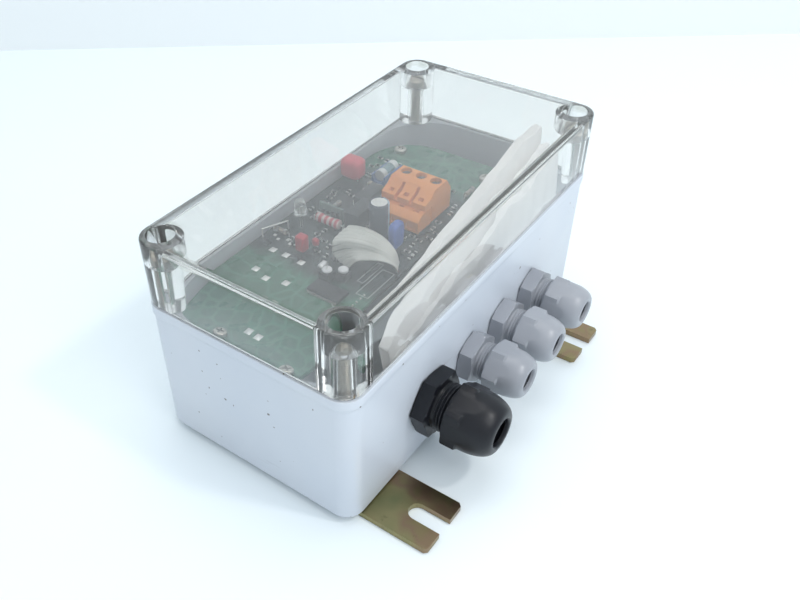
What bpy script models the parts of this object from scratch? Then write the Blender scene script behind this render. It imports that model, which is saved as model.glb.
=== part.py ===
"""Garage door opener: wall-mounted receiver box with a clear lid and four cable glands.

Units are metres and +Z is up. X runs along the box, the cable glands point to -Y. The box is
modelled about its own middle, and the empty "receiver" carries it so that the middle of the
whole footprint is at the origin, with the mounting straps standing on z = 0.
"""
import math

import bmesh
import bpy

# ---- enclosure ----
BOX_LENGTH = 0.180          # outside of the base rim, along X
BOX_WIDTH = 0.0945          # outside of the base rim, along Y
BASE_HEIGHT = 0.0615        # underside of the base to its rim
LID_HEIGHT = 0.0277         # lid skirt to lid top
SEAM_GAP = 0.0008           # rim to lid skirt, where the gasket shows
CORNER_RADIUS = 0.0082      # outside corners of lid and base
WALL = 0.0030               # side walls of base and lid
FLOOR = 0.0030
LID_TOP = 0.0030
RIM_WALL = 0.0038           # the base wall thickens to this at the rim
RIM_HEIGHT = 0.0046
RIM_PROUD = 0.0005          # how far the rim stands out from the wall below it
CAVITY_RADIUS = 0.026       # inside corners of the base, clear of the lid screws
LID_FIT = 0.0003            # the lid is this much smaller than the rim, all round
GAP = 0.0003                # between neighbouring pieces

# ---- lid screws and their posts ----
POST_INSET = 0.0080         # screw axis to the outside of the rim
POST_RADIUS = 0.0080
POST_HEAD_BORE = 0.0104
POST_HEAD_DEPTH = 0.0112
LID_SCREW = 0.0040
LID_SCREW_HEAD = 0.0074
LID_SCREW_HEAD_HEIGHT = 0.0030
LID_SCREW_LENGTH = 0.0280   # under the head
SCREW_FIT = 0.0003          # radial room round a screw's shank

# ---- gasket ----
GASKET_WIDTH = 0.0014
GASKET_DEPTH = 0.0012       # groove depth in the rim
GASKET_SETBACK = 0.0012     # outside of the rim to the gasket

# ---- mounting straps ----
STRAP_THICKNESS = 0.0025
STRAP_WIDTH = 0.0250
STRAP_REACH = 0.0270        # past the rim on the gland side
STRAP_SLOT = 0.0074
STRAP_SLOT_DEPTH = 0.0152
STRAP_CORNER = 0.0012
STRAP_INSETS = (0.0200, 0.0393)  # end of the box to the middle of each strap
STRAP_BACK = 0.0060         # the strap stops this far short of the back wall
STRAP_SCREW = 0.0040
STRAP_SCREW_INSETS = (0.02125, 0.01925)  # front and back of the box to the strap screws

# ---- cable glands: sizes of the black one and of the grey ones ----
GLAND_Z = 0.0255            # gland axis above the underside of the base
BLACK_NUT_TURN = 22.0
BLACK_GLAND = {
    "thread": 0.0196, "hex": 0.0240, "flange": 0.0067, "nut_from": 0.0127, "nut_hex": 0.0070,
    "reach": 0.0315, "mouth": 0.0112, "dome": 0.0124, "bore": 0.0130, "inside": 0.0120,
    "lock_hex": 0.0260, "lock": 0.0060, "body_turn": 52.0}
GREY_GLAND = {
    "thread": 0.0158, "hex": 0.0190, "flange": 0.0065, "nut_from": 0.0112, "nut_hex": 0.0068,
    "reach": 0.0272, "mouth": 0.0086, "dome": 0.0098, "bore": 0.0100, "inside": 0.0110,
    "lock_hex": 0.0220, "lock": 0.0050, "body_turn": 22.0}
GLAND_INSETS = (0.0498, 0.0800)  # left end of the box to the black and the first grey one
GREY_PITCH = 0.0251
GREY_NUT_TURNS = (50.0, 48.0, 18.0)
SEAL_WALL = 0.0016          # thickness of the rubber insert
SEAL_FIT = 0.0003

# ---- circuit board, relative to the middle of the box ----
BOARD_BELOW_RIM = 0.0058    # top of the board to the rim
BOARD_THICKNESS = 0.0016
BOARD_INSETS = (0.0070, 0.0180)  # left and right ends of the box to the board
BOARD_FRONT_INSET = 0.02875
BOARD_BACK_INSET = 0.00475
BOARD_BACK_RADIUS = 0.0220
BOARD_FRONT_RADIUS = 0.0040
BOARD_SCREW = 0.0030
BOARD_SCREW_INSETS = (      # side of the board and inset, along X and along Y
    (-1, 0.0077, 1, 0.0240), (-1, 0.0050, -1, 0.0045),
    (1, 0.0120, 1, 0.0095), (1, 0.0120, -1, 0.0065))
PILLAR_RADIUS = 0.0036

# ---- parts on the board: height above the board's top ----
TERMINAL_POLES = 3
TERMINAL_PITCH = 0.0072
TERMINAL_Y = 0.0009
TERMINAL_X = (0.0080, 0.0180, 0.0330)   # header back, joint, plug front
TERMINAL_HEIGHT = 0.0150
TERMINAL_HEADER_HEIGHT = 0.0080
TERMINAL_SCREW = 0.0042
BUTTON_ROOM = 0.0003        # under the cap of the push button

# ---- folded leaflet ----
LEAFLET_INSETS = (0.0380, 0.0200)  # left and right ends of the box to the leaflet
LEAFLET_DEPTH = 0.0150
LEAFLET_ROOM = 0.0028

BOX_FLOOR_Z = STRAP_THICKNESS + GAP
RIM_Z = BOX_FLOOR_Z + BASE_HEIGHT
SKIRT_Z = RIM_Z + SEAM_GAP
LID_Z = SKIRT_Z + LID_HEIGHT
BOARD_Z = RIM_Z - BOARD_BELOW_RIM
BOARD_X = (-BOX_LENGTH / 2 + BOARD_INSETS[0], BOX_LENGTH / 2 - BOARD_INSETS[1])
BOARD_Y = (-BOX_WIDTH / 2 + BOARD_FRONT_INSET, BOX_WIDTH / 2 - BOARD_BACK_INSET)
BOARD_SCREW_SPOTS = tuple(
    ((BOARD_X[1] if sx > 0 else BOARD_X[0]) - sx * inset_x,
     (BOARD_Y[1] if sy > 0 else BOARD_Y[0]) - sy * inset_y)
    for sx, inset_x, sy, inset_y in BOARD_SCREW_INSETS)
STRAP_SCREW_Y = (-BOX_WIDTH / 2 + STRAP_SCREW_INSETS[0], BOX_WIDTH / 2 - STRAP_SCREW_INSETS[1])
STRAP_X = {"left": -BOX_LENGTH / 2 + STRAP_INSETS[0], "right": BOX_LENGTH / 2 - STRAP_INSETS[1]}
GLANDS = (
    ("black_gland", -BOX_LENGTH / 2 + GLAND_INSETS[0], BLACK_GLAND, "black nylon",
     BLACK_NUT_TURN),
    *((f"grey_gland_{number + 1}",
       -BOX_LENGTH / 2 + GLAND_INSETS[1] + number * GREY_PITCH, GREY_GLAND, "grey nylon",
       nut_turn) for number, nut_turn in enumerate(GREY_NUT_TURNS)))
GLAND_FACE_Y = -(BOX_WIDTH / 2 - RIM_PROUD)
POST_SPOTS = tuple((sx * (BOX_LENGTH / 2 - POST_INSET), sy * (BOX_WIDTH / 2 - POST_INSET))
                   for sx, sy in ((-1, -1), (-1, 1), (1, 1), (1, -1)))
FRONT_REACH = BLACK_GLAND["reach"] - RIM_PROUD
MIDDLE_Y = FRONT_REACH / 2

for old in list(bpy.data.objects):
    bpy.data.objects.remove(old, do_unlink=True)

parts = bpy.data.collections.new("garage_door_opener")
cutters = bpy.data.collections.new("cutters")
bpy.context.scene.collection.children.link(parts)
bpy.context.scene.collection.children.link(cutters)

receiver = bpy.data.objects.new("receiver", None)
receiver.location = (0, MIDDLE_Y, 0)
parts.objects.link(receiver)


def finish(name, colour, roughness=0.5, metallic=0.0, alpha=1.0):
    """A plain Principled material."""
    material = bpy.data.materials.new(name)
    material.use_nodes = True
    shader = material.node_tree.nodes["Principled BSDF"]
    shader.inputs["Base Color"].default_value = (*colour, 1.0)
    shader.inputs["Roughness"].default_value = roughness
    shader.inputs["Metallic"].default_value = metallic
    shader.inputs["Alpha"].default_value = alpha
    return material


FINISHES = {
    "grey enclosure": finish("grey enclosure", (0.62, 0.66, 0.69), 0.45),
    "clear polycarbonate": finish("clear polycarbonate", (0.86, 0.87, 0.82), 0.08, 0.0, 0.3),
    "dark rubber": finish("dark rubber", (0.03, 0.03, 0.03), 0.8),
    "zinc steel": finish("zinc steel", (0.48, 0.46, 0.40), 0.35, 1.0),
    "yellow zinc": finish("yellow zinc", (0.42, 0.36, 0.18), 0.4, 1.0),
    "black nylon": finish("black nylon", (0.02, 0.021, 0.025), 0.3),
    "grey nylon": finish("grey nylon", (0.34, 0.36, 0.40), 0.35),
    "board green": finish("board green", (0.03, 0.16, 0.09), 0.35),
    "terminal orange": finish("terminal orange", (0.80, 0.28, 0.06), 0.45),
    "capacitor red": finish("capacitor red", (0.62, 0.05, 0.08), 0.4),
    "capacitor sleeve": finish("capacitor sleeve", (0.10, 0.13, 0.22), 0.35),
    "varistor blue": finish("varistor blue", (0.05, 0.13, 0.48), 0.4),
    "fuse base blue": finish("fuse base blue", (0.10, 0.20, 0.50), 0.4),
    "fuse glass": finish("fuse glass", (0.75, 0.85, 0.88), 0.1, 0.0, 0.5),
    "relay black": finish("relay black", (0.03, 0.03, 0.04), 0.4),
    "module board": finish("module board", (0.05, 0.15, 0.12), 0.4),
    "clear lens": finish("clear lens", (0.85, 0.88, 0.90), 0.1, 0.0, 0.5),
    "ribbon grey": finish("ribbon grey", (0.62, 0.62, 0.60), 0.5),
    "paper": finish("paper", (0.85, 0.85, 0.83), 0.85),
}


def place(name, mesh, finish_name=None, at=(0, 0, 0), turn=(0, 0, 0)):
    """Link an object under the receiver; without a finish it is a cutter."""
    thing = bpy.data.objects.new(name, mesh)
    thing.parent = receiver
    thing.location = at
    thing.rotation_euler = [math.radians(angle) for angle in turn]
    if finish_name is None:
        thing.hide_render = True
        thing.display_type = 'WIRE'
        cutters.objects.link(thing)
    else:
        mesh.materials.append(FINISHES[finish_name])
        parts.objects.link(thing)
    return thing


def trim(thing, cutter, operation='DIFFERENCE'):
    """Add an exact Boolean of thing with cutter."""
    step = thing.modifiers.new(cutter.name, 'BOOLEAN')
    step.operation = operation
    step.solver = 'EXACT'
    step.object = cutter
    return thing


def shade(mesh):
    mesh.shade_smooth()
    mesh.set_sharp_from_angle(angle=math.radians(35))
    return mesh


def block_mesh(x, y, z, corners=None, segments=5, edge=0.0):
    """A box between pairs of limits; corners maps (x sign, y sign) to a radius."""
    mesh = bpy.data.meshes.new("block")
    bm = bmesh.new()
    bmesh.ops.create_cube(bm, size=1.0)
    middle = [(low + high) / 2 for low, high in (x, y, z)]
    bmesh.ops.scale(bm, vec=(x[1] - x[0], y[1] - y[0], z[1] - z[0]), verts=bm.verts)
    if edge:
        bmesh.ops.bevel(bm, geom=list(bm.edges), offset=edge, offset_type='OFFSET', segments=2,
                        profile=0.5, affect='EDGES', clamp_overlap=True)
    for (sx, sy), radius in (corners or {}).items():
        uprights = [e for e in bm.edges
                    if abs(e.verts[0].co.z - e.verts[1].co.z) > 1e-6
                    and all(v.co.x * sx > 0 and v.co.y * sy > 0 for v in e.verts)
                    and (e.verts[0].co.xy - e.verts[1].co.xy).length < 1e-7]
        bmesh.ops.bevel(bm, geom=uprights, offset=radius, offset_type='OFFSET',
                        segments=segments, profile=0.5, affect='EDGES')
    bmesh.ops.translate(bm, vec=middle, verts=bm.verts)
    bm.to_mesh(mesh)
    bm.free()
    return shade(mesh)


def all_corners(radius):
    return {(sx, sy): radius for sx in (-1, 1) for sy in (-1, 1)}


def round_box(half_x, half_y, z, radius, segments=6):
    """An upright rounded box about the middle of the enclosure."""
    return block_mesh((-half_x, half_x), (-half_y, half_y), z, all_corners(radius), segments)


def rod_mesh(radius, z, sides=24, turn=0.0):
    """A cylinder or prism along local Z."""
    mesh = bpy.data.meshes.new("rod")
    bm = bmesh.new()
    bmesh.ops.create_cone(bm, cap_ends=True, segments=sides, radius1=radius, radius2=radius,
                          depth=z[1] - z[0])
    bmesh.ops.translate(bm, vec=(0, 0, (z[0] + z[1]) / 2), verts=bm.verts)
    for vert in bm.verts:
        angle = math.atan2(vert.co.y, vert.co.x) + math.radians(turn)
        reach = vert.co.xy.length
        vert.co.x, vert.co.y = reach * math.cos(angle), reach * math.sin(angle)
    bm.to_mesh(mesh)
    bm.free()
    return shade(mesh)


def turned(name, profile, finish_name, at, turn=(0, 0, 0), steps=24, closed=False):
    """Turn a profile of (radius, height) points, top to bottom, about local Z."""
    mesh = bpy.data.meshes.new(name)
    bm = bmesh.new()
    points = [bm.verts.new((radius, 0, height)) for radius, height in profile]
    for start, end in zip(points, points[1:]):
        bm.edges.new((start, end))
    if closed:
        bm.edges.new((points[-1], points[0]))
    bm.to_mesh(mesh)
    bm.free()
    thing = place(name, mesh, finish_name, at, turn)
    lathe = thing.modifiers.new("lathe", 'SCREW')
    lathe.axis = 'Z'
    lathe.angle = math.tau
    lathe.steps = steps
    lathe.render_steps = steps
    lathe.use_merge_vertices = True
    lathe.merge_threshold = 0.00001
    lathe.use_smooth_shade = True
    return thing


def flat_mesh(outlines, thickness):
    """A flat plate in local XY from closed outlines; later outlines are holes."""
    curve = bpy.data.curves.new("outline", 'CURVE')
    curve.dimensions = '2D'
    curve.fill_mode = 'BOTH'
    curve.extrude = thickness / 2
    for outline in outlines:
        spline = curve.splines.new('POLY')
        spline.points.add(len(outline) - 1)
        for point, (x, y) in zip(spline.points, outline):
            point.co = (x, y, 0, 1)
        spline.use_cyclic_u = True
    drawn = bpy.data.objects.new("outline", curve)
    cutters.objects.link(drawn)
    graph = bpy.context.evaluated_depsgraph_get()
    mesh = bpy.data.meshes.new_from_object(drawn.evaluated_get(graph))
    bpy.data.objects.remove(drawn, do_unlink=True)
    bm = bmesh.new()
    bm.from_mesh(mesh)
    bmesh.ops.remove_doubles(bm, verts=bm.verts, dist=0.00001)
    bmesh.ops.recalc_face_normals(bm, faces=bm.faces)
    bm.to_mesh(mesh)
    bm.free()
    return mesh


def circle(x, y, radius, sides=16):
    angles = [math.tau * i / sides for i in range(sides)]
    return [(x + radius * math.cos(a), y + radius * math.sin(a)) for a in angles]


def arc(x, y, radius, start, end, pieces):
    """Points of an arc, in degrees."""
    angles = [math.radians(start + (end - start) * i / pieces) for i in range(pieces + 1)]
    return [(x + radius * math.cos(a), y + radius * math.sin(a)) for a in angles]


def make_base():
    """Moulded base: floor, walls, thick rim, board pillars, screw pilots and gland holes."""
    half_x = BOX_LENGTH / 2
    half_y = BOX_WIDTH / 2
    wall_z = RIM_Z - RIM_HEIGHT
    base = place("base_shell", round_box(half_x - RIM_PROUD, half_y - RIM_PROUD,
                                         (BOX_FLOOR_Z, RIM_Z), CORNER_RADIUS - RIM_PROUD),
                 "grey enclosure")
    rim = place("rim_band", round_box(half_x, half_y, (wall_z, RIM_Z), CORNER_RADIUS))
    trim(base, rim, 'UNION')

    inside_x = half_x - RIM_PROUD - WALL
    inside_y = half_y - RIM_PROUD - WALL
    cavity = place("base_cavity", round_box(inside_x, inside_y,
                                            (BOX_FLOOR_Z + FLOOR, wall_z), CAVITY_RADIUS, 8))
    for number, (x, y) in enumerate(BOARD_SCREW_SPOTS, 1):
        top = BOARD_Z - BOARD_THICKNESS - GAP
        pillar = place(f"pillar_{number}", rod_mesh(PILLAR_RADIUS, (0, top), 12), at=(x, y, 0))
        trim(cavity, pillar)
        pilot = place(f"pillar_pilot_{number}",
                      rod_mesh(BOARD_SCREW / 2 + SCREW_FIT, (top - 0.008, top + 0.001), 12),
                      at=(x, y, 0))
        trim(base, pilot)
    trim(base, cavity)
    mouth = place("rim_mouth", round_box(half_x - RIM_WALL, half_y - RIM_WALL,
                                         (wall_z - 0.001, RIM_Z + 0.001), CAVITY_RADIUS, 8))
    for number, (x, y) in enumerate(BOARD_SCREW_SPOTS, 1):
        trim(mouth, bpy.data.objects[f"pillar_{number}"])
    trim(base, mouth)
    trim(base, gasket_ring("gasket_groove", None, GAP, (RIM_Z - GASKET_DEPTH, RIM_Z + 0.001)))

    for number, (x, y) in enumerate(POST_SPOTS, 1):
        depth = LID_Z - POST_HEAD_DEPTH - LID_SCREW_LENGTH - 0.002
        pilot = place(f"lid_screw_pilot_{number}",
                      rod_mesh(LID_SCREW / 2 + SCREW_FIT, (depth, RIM_Z + 0.001), 16),
                      at=(x, y, 0))
        trim(base, pilot)
    for name, x, sizes, *_ in GLANDS:
        hole = place(f"{name}_hole", rod_mesh(sizes["thread"] / 2 + GAP, (-0.003, 2 * WALL), 24),
                     at=(x, GLAND_FACE_Y, BOX_FLOOR_Z + GLAND_Z), turn=(-90, 0, 0))
        trim(base, hole)
    for side, x in STRAP_X.items():
        for number, y in enumerate(STRAP_SCREW_Y, 1):
            hole = place(f"strap_screw_hole_{side}_{number}",
                         rod_mesh(STRAP_SCREW / 2 + SCREW_FIT, (0, 0.010), 16), at=(x, y, 0))
            trim(base, hole)
    return base


def gasket_ring(name, finish_name, spare, z):
    """The seal under the lid skirt, or with spare room all round the groove that holds it."""
    outer = GASKET_SETBACK - spare
    inner = GASKET_SETBACK + GASKET_WIDTH + spare
    ring = place(name, round_box(BOX_LENGTH / 2 - outer, BOX_WIDTH / 2 - outer, z,
                                 CORNER_RADIUS - outer), finish_name)
    middle = place(f"{name}_middle",
                   round_box(BOX_LENGTH / 2 - inner, BOX_WIDTH / 2 - inner,
                             (z[0] - 0.001, z[1] + 0.001), CORNER_RADIUS - inner))
    return trim(ring, middle)


def make_lid():
    """Clear lid with a solid post in each corner for a captive screw."""
    half_x = BOX_LENGTH / 2 - LID_FIT
    half_y = BOX_WIDTH / 2 - LID_FIT
    lid = place("lid_shell", round_box(half_x, half_y, (SKIRT_Z, LID_Z), CORNER_RADIUS - LID_FIT),
                "clear polycarbonate")
    hollow = place("lid_hollow", round_box(half_x - WALL, half_y - WALL,
                                           (SKIRT_Z - 0.002, LID_Z - LID_TOP), 0.001, 1))
    for number, (x, y) in enumerate(POST_SPOTS, 1):
        post = place(f"lid_post_{number}", rod_mesh(POST_RADIUS, (SKIRT_Z - 0.003, LID_Z), 24),
                     at=(x, y, 0))
        trim(hollow, post)
    trim(lid, hollow)
    for number, (x, y) in enumerate(POST_SPOTS, 1):
        seat = LID_Z - POST_HEAD_DEPTH
        bore = LID_SCREW / 2 + SCREW_FIT
        way = turned(f"lid_screw_way_{number}",
                     [(0, LID_Z + 0.001), (POST_HEAD_BORE / 2, LID_Z + 0.001),
                      (POST_HEAD_BORE / 2, seat), (bore, seat), (bore, SKIRT_Z - 0.001),
                      (0, SKIRT_Z - 0.001)], None, (x, y, 0))
        trim(lid, way)
    return lid


def make_screw(name, x, y, head_z, shank, head, head_height, length, finish_name="zinc steel",
               slot=0.0010, steps=16):
    """Cheese-head screw standing on its axis; head_z is the underside of its head."""
    top = head_height
    screw = turned(name, [(0, top), (head / 2 - 0.0003, top), (head / 2, top - 0.0003),
                          (head / 2, 0), (shank / 2, 0), (shank / 2, -length + 0.0004),
                          (shank / 2 - 0.0004, -length), (0, -length)],
                   finish_name, (x, y, head_z), steps=steps)
    cut = place(f"{name}_slot", block_mesh((-head, head), (-slot / 2, slot / 2),
                                           (top - 0.45 * head_height, top + 0.001)),
                at=(x, y, head_z), turn=(0, 0, 35))
    return trim(screw, cut)


def make_strap(side, x):
    """Flat steel strap under the base, with an open slot in the end that shows."""
    end = -(BOX_WIDTH / 2 + STRAP_REACH)
    back = BOX_WIDTH / 2 - STRAP_BACK
    half = STRAP_WIDTH / 2
    slot = STRAP_SLOT / 2
    c = STRAP_CORNER
    outline = [(-half, back), (-half, end + c), (-half + c, end), (-slot, end)]
    outline += arc(0, end + STRAP_SLOT_DEPTH - slot, slot, 180, 0, 10)
    outline += [(slot, end), (half - c, end), (half, end + c), (half, back)]
    holes = [circle(0, y, STRAP_SCREW / 2 + SCREW_FIT) for y in STRAP_SCREW_Y]
    strap = place(f"mounting_strap_{side}", flat_mesh([outline, *holes], STRAP_THICKNESS),
                  "yellow zinc", at=(x, 0, STRAP_THICKNESS / 2))
    for number, y in enumerate(STRAP_SCREW_Y, 1):
        make_screw(f"strap_screw_{side}_{number}", x, y, BOX_FLOOR_Z + FLOOR + GAP, STRAP_SCREW,
                   0.0080, 0.0026, FLOOR + STRAP_THICKNESS)
    return strap


def make_gland(name, x, sizes, finish_name, nut_turn):
    """Cable gland on the -Y wall: body, lock nut, rubber insert and dome nut on one axis."""
    at = (x, GLAND_FACE_Y, BOX_FLOOR_Z + GLAND_Z)
    out = (90, 0, 0)
    thread = sizes["thread"] / 2
    bore = sizes["bore"] / 2
    flange = sizes["flange"]
    over = sizes["hex"] / math.sqrt(3) + 0.0010
    nut_from = sizes["nut_from"]
    shoulder = nut_from + sizes["nut_hex"]
    reach = sizes["reach"]
    mouth = sizes["mouth"] / 2
    seat = shoulder - 0.0060
    neck = shoulder + 0.0010
    seal = thread - 0.0016

    body = turned(f"{name}_body",
                  [(thread, neck), (thread, flange), (over, flange), (over, GAP), (thread, GAP),
                   (thread, -sizes["inside"]), (bore, -sizes["inside"]), (bore, seat),
                   (seal, seat), (seal, neck)], finish_name, at, out, closed=True)
    hex_cut = place(f"{name}_body_hex",
                    rod_mesh(sizes["hex"] / math.sqrt(3), (-0.05, 0.05), 6, sizes["body_turn"]),
                    at=at,
                    turn=out)
    trim(body, hex_cut, 'INTERSECT')

    dome = sizes["dome"]
    rise = reach - shoulder
    tip = mouth + 0.0012
    curve = [(tip + (dome - tip) * math.sin(a), shoulder + rise * math.cos(a))
             for a in (math.radians(step) for step in (0, 25, 45, 62, 78, 90))]
    room = thread + GAP
    nut = turned(f"{name}_dome_nut",
                 curve + [(over, shoulder - 0.0010), (over, nut_from), (room, nut_from),
                          (room, neck + GAP), (mouth + 0.0008, reach - 0.0022),
                          (mouth, reach - 0.0016), (mouth, reach)],
                 finish_name, at, out, closed=True)
    hex_cut = place(f"{name}_nut_hex",
                    rod_mesh(sizes["hex"] / math.sqrt(3), (-0.05, 0.05), 6, nut_turn), at=at,
                    turn=out)
    trim(nut, hex_cut, 'INTERSECT')

    insert = seal - SEAL_FIT
    turned(f"{name}_seal",
           [(insert, neck - GAP), (insert, seat + GAP), (insert - SEAL_WALL, seat + GAP),
            (insert - SEAL_WALL, neck - GAP)], "dark rubber", at, out, steps=20, closed=True)

    lock_from = -(WALL + GAP)
    lock_over = sizes["lock_hex"] / math.sqrt(3) + 0.0010
    lock = turned(f"{name}_lock_nut",
                  [(lock_over, lock_from), (lock_over, lock_from - sizes["lock"]),
                   (thread + GAP, lock_from - sizes["lock"]), (thread + GAP, lock_from)],
                  finish_name, at, out, steps=20, closed=True)
    hex_cut = place(f"{name}_lock_hex",
                    rod_mesh(sizes["lock_hex"] / math.sqrt(3), (-0.05, 0.05), 6, 0), at=at,
                    turn=out)
    trim(lock, hex_cut, 'INTERSECT')


def make_board():
    """Circuit board on four pillars, just below the rim."""
    corners = {(-1, 1): BOARD_BACK_RADIUS, (1, 1): BOARD_BACK_RADIUS,
               (-1, -1): BOARD_FRONT_RADIUS, (1, -1): BOARD_FRONT_RADIUS}
    board = place("circuit_board", block_mesh(BOARD_X, BOARD_Y,
                                              (BOARD_Z - BOARD_THICKNESS, BOARD_Z), corners),
                  "board green")
    for number, (x, y) in enumerate(BOARD_SCREW_SPOTS, 1):
        hole = place(f"board_hole_{number}",
                     rod_mesh(BOARD_SCREW / 2 + SCREW_FIT, (BOARD_Z - 0.004, BOARD_Z + 0.002), 12),
                     at=(x, y, 0))
        trim(board, hole)
        make_screw(f"board_screw_{number}", x, y, BOARD_Z + GAP, BOARD_SCREW, 0.0056, 0.0020,
                   0.0080, steps=12)


def on_board(name, x, y, height, finish_name, lift=GAP, edge=0.0, corners=None):
    """A box-shaped part standing on the board."""
    return place(name, block_mesh(x, y, (BOARD_Z + lift, BOARD_Z + lift + height), corners,
                                  edge=edge), finish_name)


def extruded_y(name, outline, y, finish_name):
    """An outline in XZ, heights above the board's top, extruded between two y limits."""
    mesh = flat_mesh([outline], y[1] - y[0])
    return place(name, mesh, finish_name, at=(0, (y[0] + y[1]) / 2, BOARD_Z), turn=(90, 0, 0))


def make_terminal():
    """Pluggable screw terminal: header soldered to the board, plug with clamp screws."""
    back, joint, front = TERMINAL_X
    half = TERMINAL_POLES * TERMINAL_PITCH / 2
    y = (TERMINAL_Y - half, TERMINAL_Y + half)
    low = TERMINAL_HEADER_HEIGHT
    top = TERMINAL_HEIGHT
    extruded_y("terminal_header",
               [(back, GAP), (joint, GAP), (joint, low), (back + 0.0030, low),
                (back, low - 0.0025)], y, "terminal orange")
    lip = low + GAP
    start = joint + GAP
    plug = extruded_y("terminal_plug",
                      [(start, 2 * GAP), (front, 2 * GAP), (front, top - 0.0050),
                       (front - 0.0035, top), (start + 0.0020, top), (start - 0.0010, top - 0.0025),
                       (start - 0.0052, lip + 0.0026), (start - 0.0052, lip), (start, lip)],
                      y, "terminal orange")
    well = TERMINAL_SCREW / 2 + SCREW_FIT
    for pole in range(TERMINAL_POLES):
        at_y = TERMINAL_Y + (pole - (TERMINAL_POLES - 1) / 2) * TERMINAL_PITCH
        at_x = start + 0.0082
        hole = place(f"terminal_well_{pole + 1}",
                     rod_mesh(well, (BOARD_Z + top - 0.0045, BOARD_Z + top + 0.001), 16),
                     at=(at_x, at_y, 0))
        trim(plug, hole)
        entry = place(f"terminal_entry_{pole + 1}",
                      block_mesh((front - 0.0070, front + 0.001), (-0.0022, 0.0022),
                                 (BOARD_Z + 0.0025, BOARD_Z + 0.0070)), at=(0, at_y, 0))
        trim(plug, entry)
        make_screw(f"terminal_screw_{pole + 1}", at_x, at_y, BOARD_Z + top - 0.0026,
                   TERMINAL_SCREW - 0.0012, TERMINAL_SCREW, 0.0012, 0.0014, steps=12,
                   slot=0.0008)


def make_varistor():
    """Varistor with rounded shoulders, standing on its leads."""
    x, y, half, rise, low, stem = -0.0052, -0.0080, 0.0038, 0.0058, 0.0014, 0.0022
    outline = [(x - stem, GAP), (x + stem, GAP)]
    for step in range(23):
        angle = math.radians(-60 + 300 * step / 22)
        across, up = math.cos(angle), math.sin(angle)
        outline.append((x + half * math.copysign(abs(across) ** 0.5, across),
                        low + rise + rise * math.copysign(abs(up) ** 0.5, up)))
    extruded_y("varistor", outline, (y - 0.0018, y + 0.0018), "varistor blue")


def make_ribbon():
    """Flat ten-core jumper cable that arches over the board."""
    x = (-0.0250, -0.0125)
    start, end, rise, thick = 0.0092, -0.0160, 0.0098, 0.0011
    middle = (start + end) / 2
    half = (start - end) / 2
    angles = [math.radians(180 * i / 14) for i in range(15)]
    outer = [(middle + half * math.cos(a), GAP + rise * math.sin(a) ** 0.7) for a in angles]
    inner = [(middle + (half - thick) * math.cos(a), GAP + (rise - thick) * math.sin(a) ** 0.7)
             for a in reversed(angles)]
    mesh = flat_mesh([outer + inner], x[1] - x[0])
    place("ribbon_jumper", mesh, "ribbon grey", at=((x[0] + x[1]) / 2, 0, BOARD_Z),
          turn=(90, 0, 90))


def make_board_parts():
    """Everything else that stands on the board."""
    on_board("red_capacitor", (0.0240, 0.0320), (0.0320, 0.0420), 0.0095, "capacitor red",
             lift=0.0015, edge=0.0022)
    on_board("small_red_capacitor", (-0.0292, -0.0250), (0.0200, 0.0244), 0.0070,
             "capacitor red", edge=0.0006)
    on_board("tantalum_capacitor", (-0.0230, -0.0205), (0.0180, 0.0210), 0.0035,
             "capacitor red", edge=0.0006)
    turned("electrolytic_capacitor",
           [(0, 0.0160), (0.0036, 0.0160), (0.0042, 0.0154), (0.0042, 0.0022), (0.0039, 0.0017),
            (0.0042, 0.0012), (0.0042, GAP), (0, GAP)], "capacitor sleeve",
           (-0.0008, 0.0032, BOARD_Z), steps=20)
    make_varistor()
    turned("indicator_lamp",
           [(0, 0.0134), (0.0012, 0.0132), (0.0021, 0.0125), (0.0025, 0.0112), (0.0025, 0.0080),
            (0.0029, 0.0080), (0.0029, 0.0070), (0.0012, 0.0070), (0.0012, GAP), (0, GAP)],
           "clear lens", (-0.0142, 0.0330, BOARD_Z), steps=16)
    on_board("relay", (-0.0065, 0.0075), (0.0090, 0.0175), 0.0090, "relay black", edge=0.0004)
    on_board("driver_chip", (0.0105, 0.0250), (0.0170, 0.0250), 0.0046, "relay black",
             edge=0.0004)
    on_board("microcontroller", (-0.0475, -0.0388), (-0.0100, 0.0045), 0.0018, "relay black",
             edge=0.0003)
    on_board("receiver_module", (-0.0044, -0.0016), (0.0195, 0.0315), 0.0070, "module board")
    on_board("crystal_can", (-0.0340, -0.0295), (0.0068, 0.0096), 0.0025, "zinc steel",
             edge=0.0008)
    place("choke", rod_mesh(0.0021, (0, 0.0120), 16), "capacitor red",
          at=(-0.0073, 0.0180, BOARD_Z + 0.0025), turn=(-90, 0, 0))
    make_button()
    make_trimmer()


def make_button():
    """Push button that teaches a new remote control."""
    x, y, half, height = -0.0324, -0.0022, 0.0024, 0.0034
    on_board("learn_button_body", (x - half, x + half), (y - half, y + half), height,
             "relay black")
    low = GAP + height + BUTTON_ROOM
    turned("learn_button_cap",
           [(0, low + 0.0010), (0.0018, low + 0.0010), (0.0020, low + 0.0008), (0.0020, low),
            (0, low)], "clear lens", (x, y, BOARD_Z), steps=16)


def make_trimmer():
    """Range trimmer: a body and a slotted rotor."""
    x, y, half, height = -0.0358, 0.0030, 0.0024, 0.0034
    on_board("range_trimmer_body", (x - half, x + half), (y - half, y + half), height,
             "relay black")
    low = 2 * GAP + height
    rotor = turned("range_trimmer_rotor",
                   [(0, low + 0.0008), (0.0018, low + 0.0008), (0.0020, low + 0.0006),
                    (0.0020, low), (0, low)], "clear lens", (x, y, BOARD_Z), steps=16)
    slot = place("range_trimmer_slot", block_mesh((-0.0015, 0.0015), (-0.0003, 0.0003),
                                                  (low + 0.0004, low + 0.0014)),
                 at=(x, y, BOARD_Z), turn=(0, 0, 25))
    trim(rotor, slot)


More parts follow.
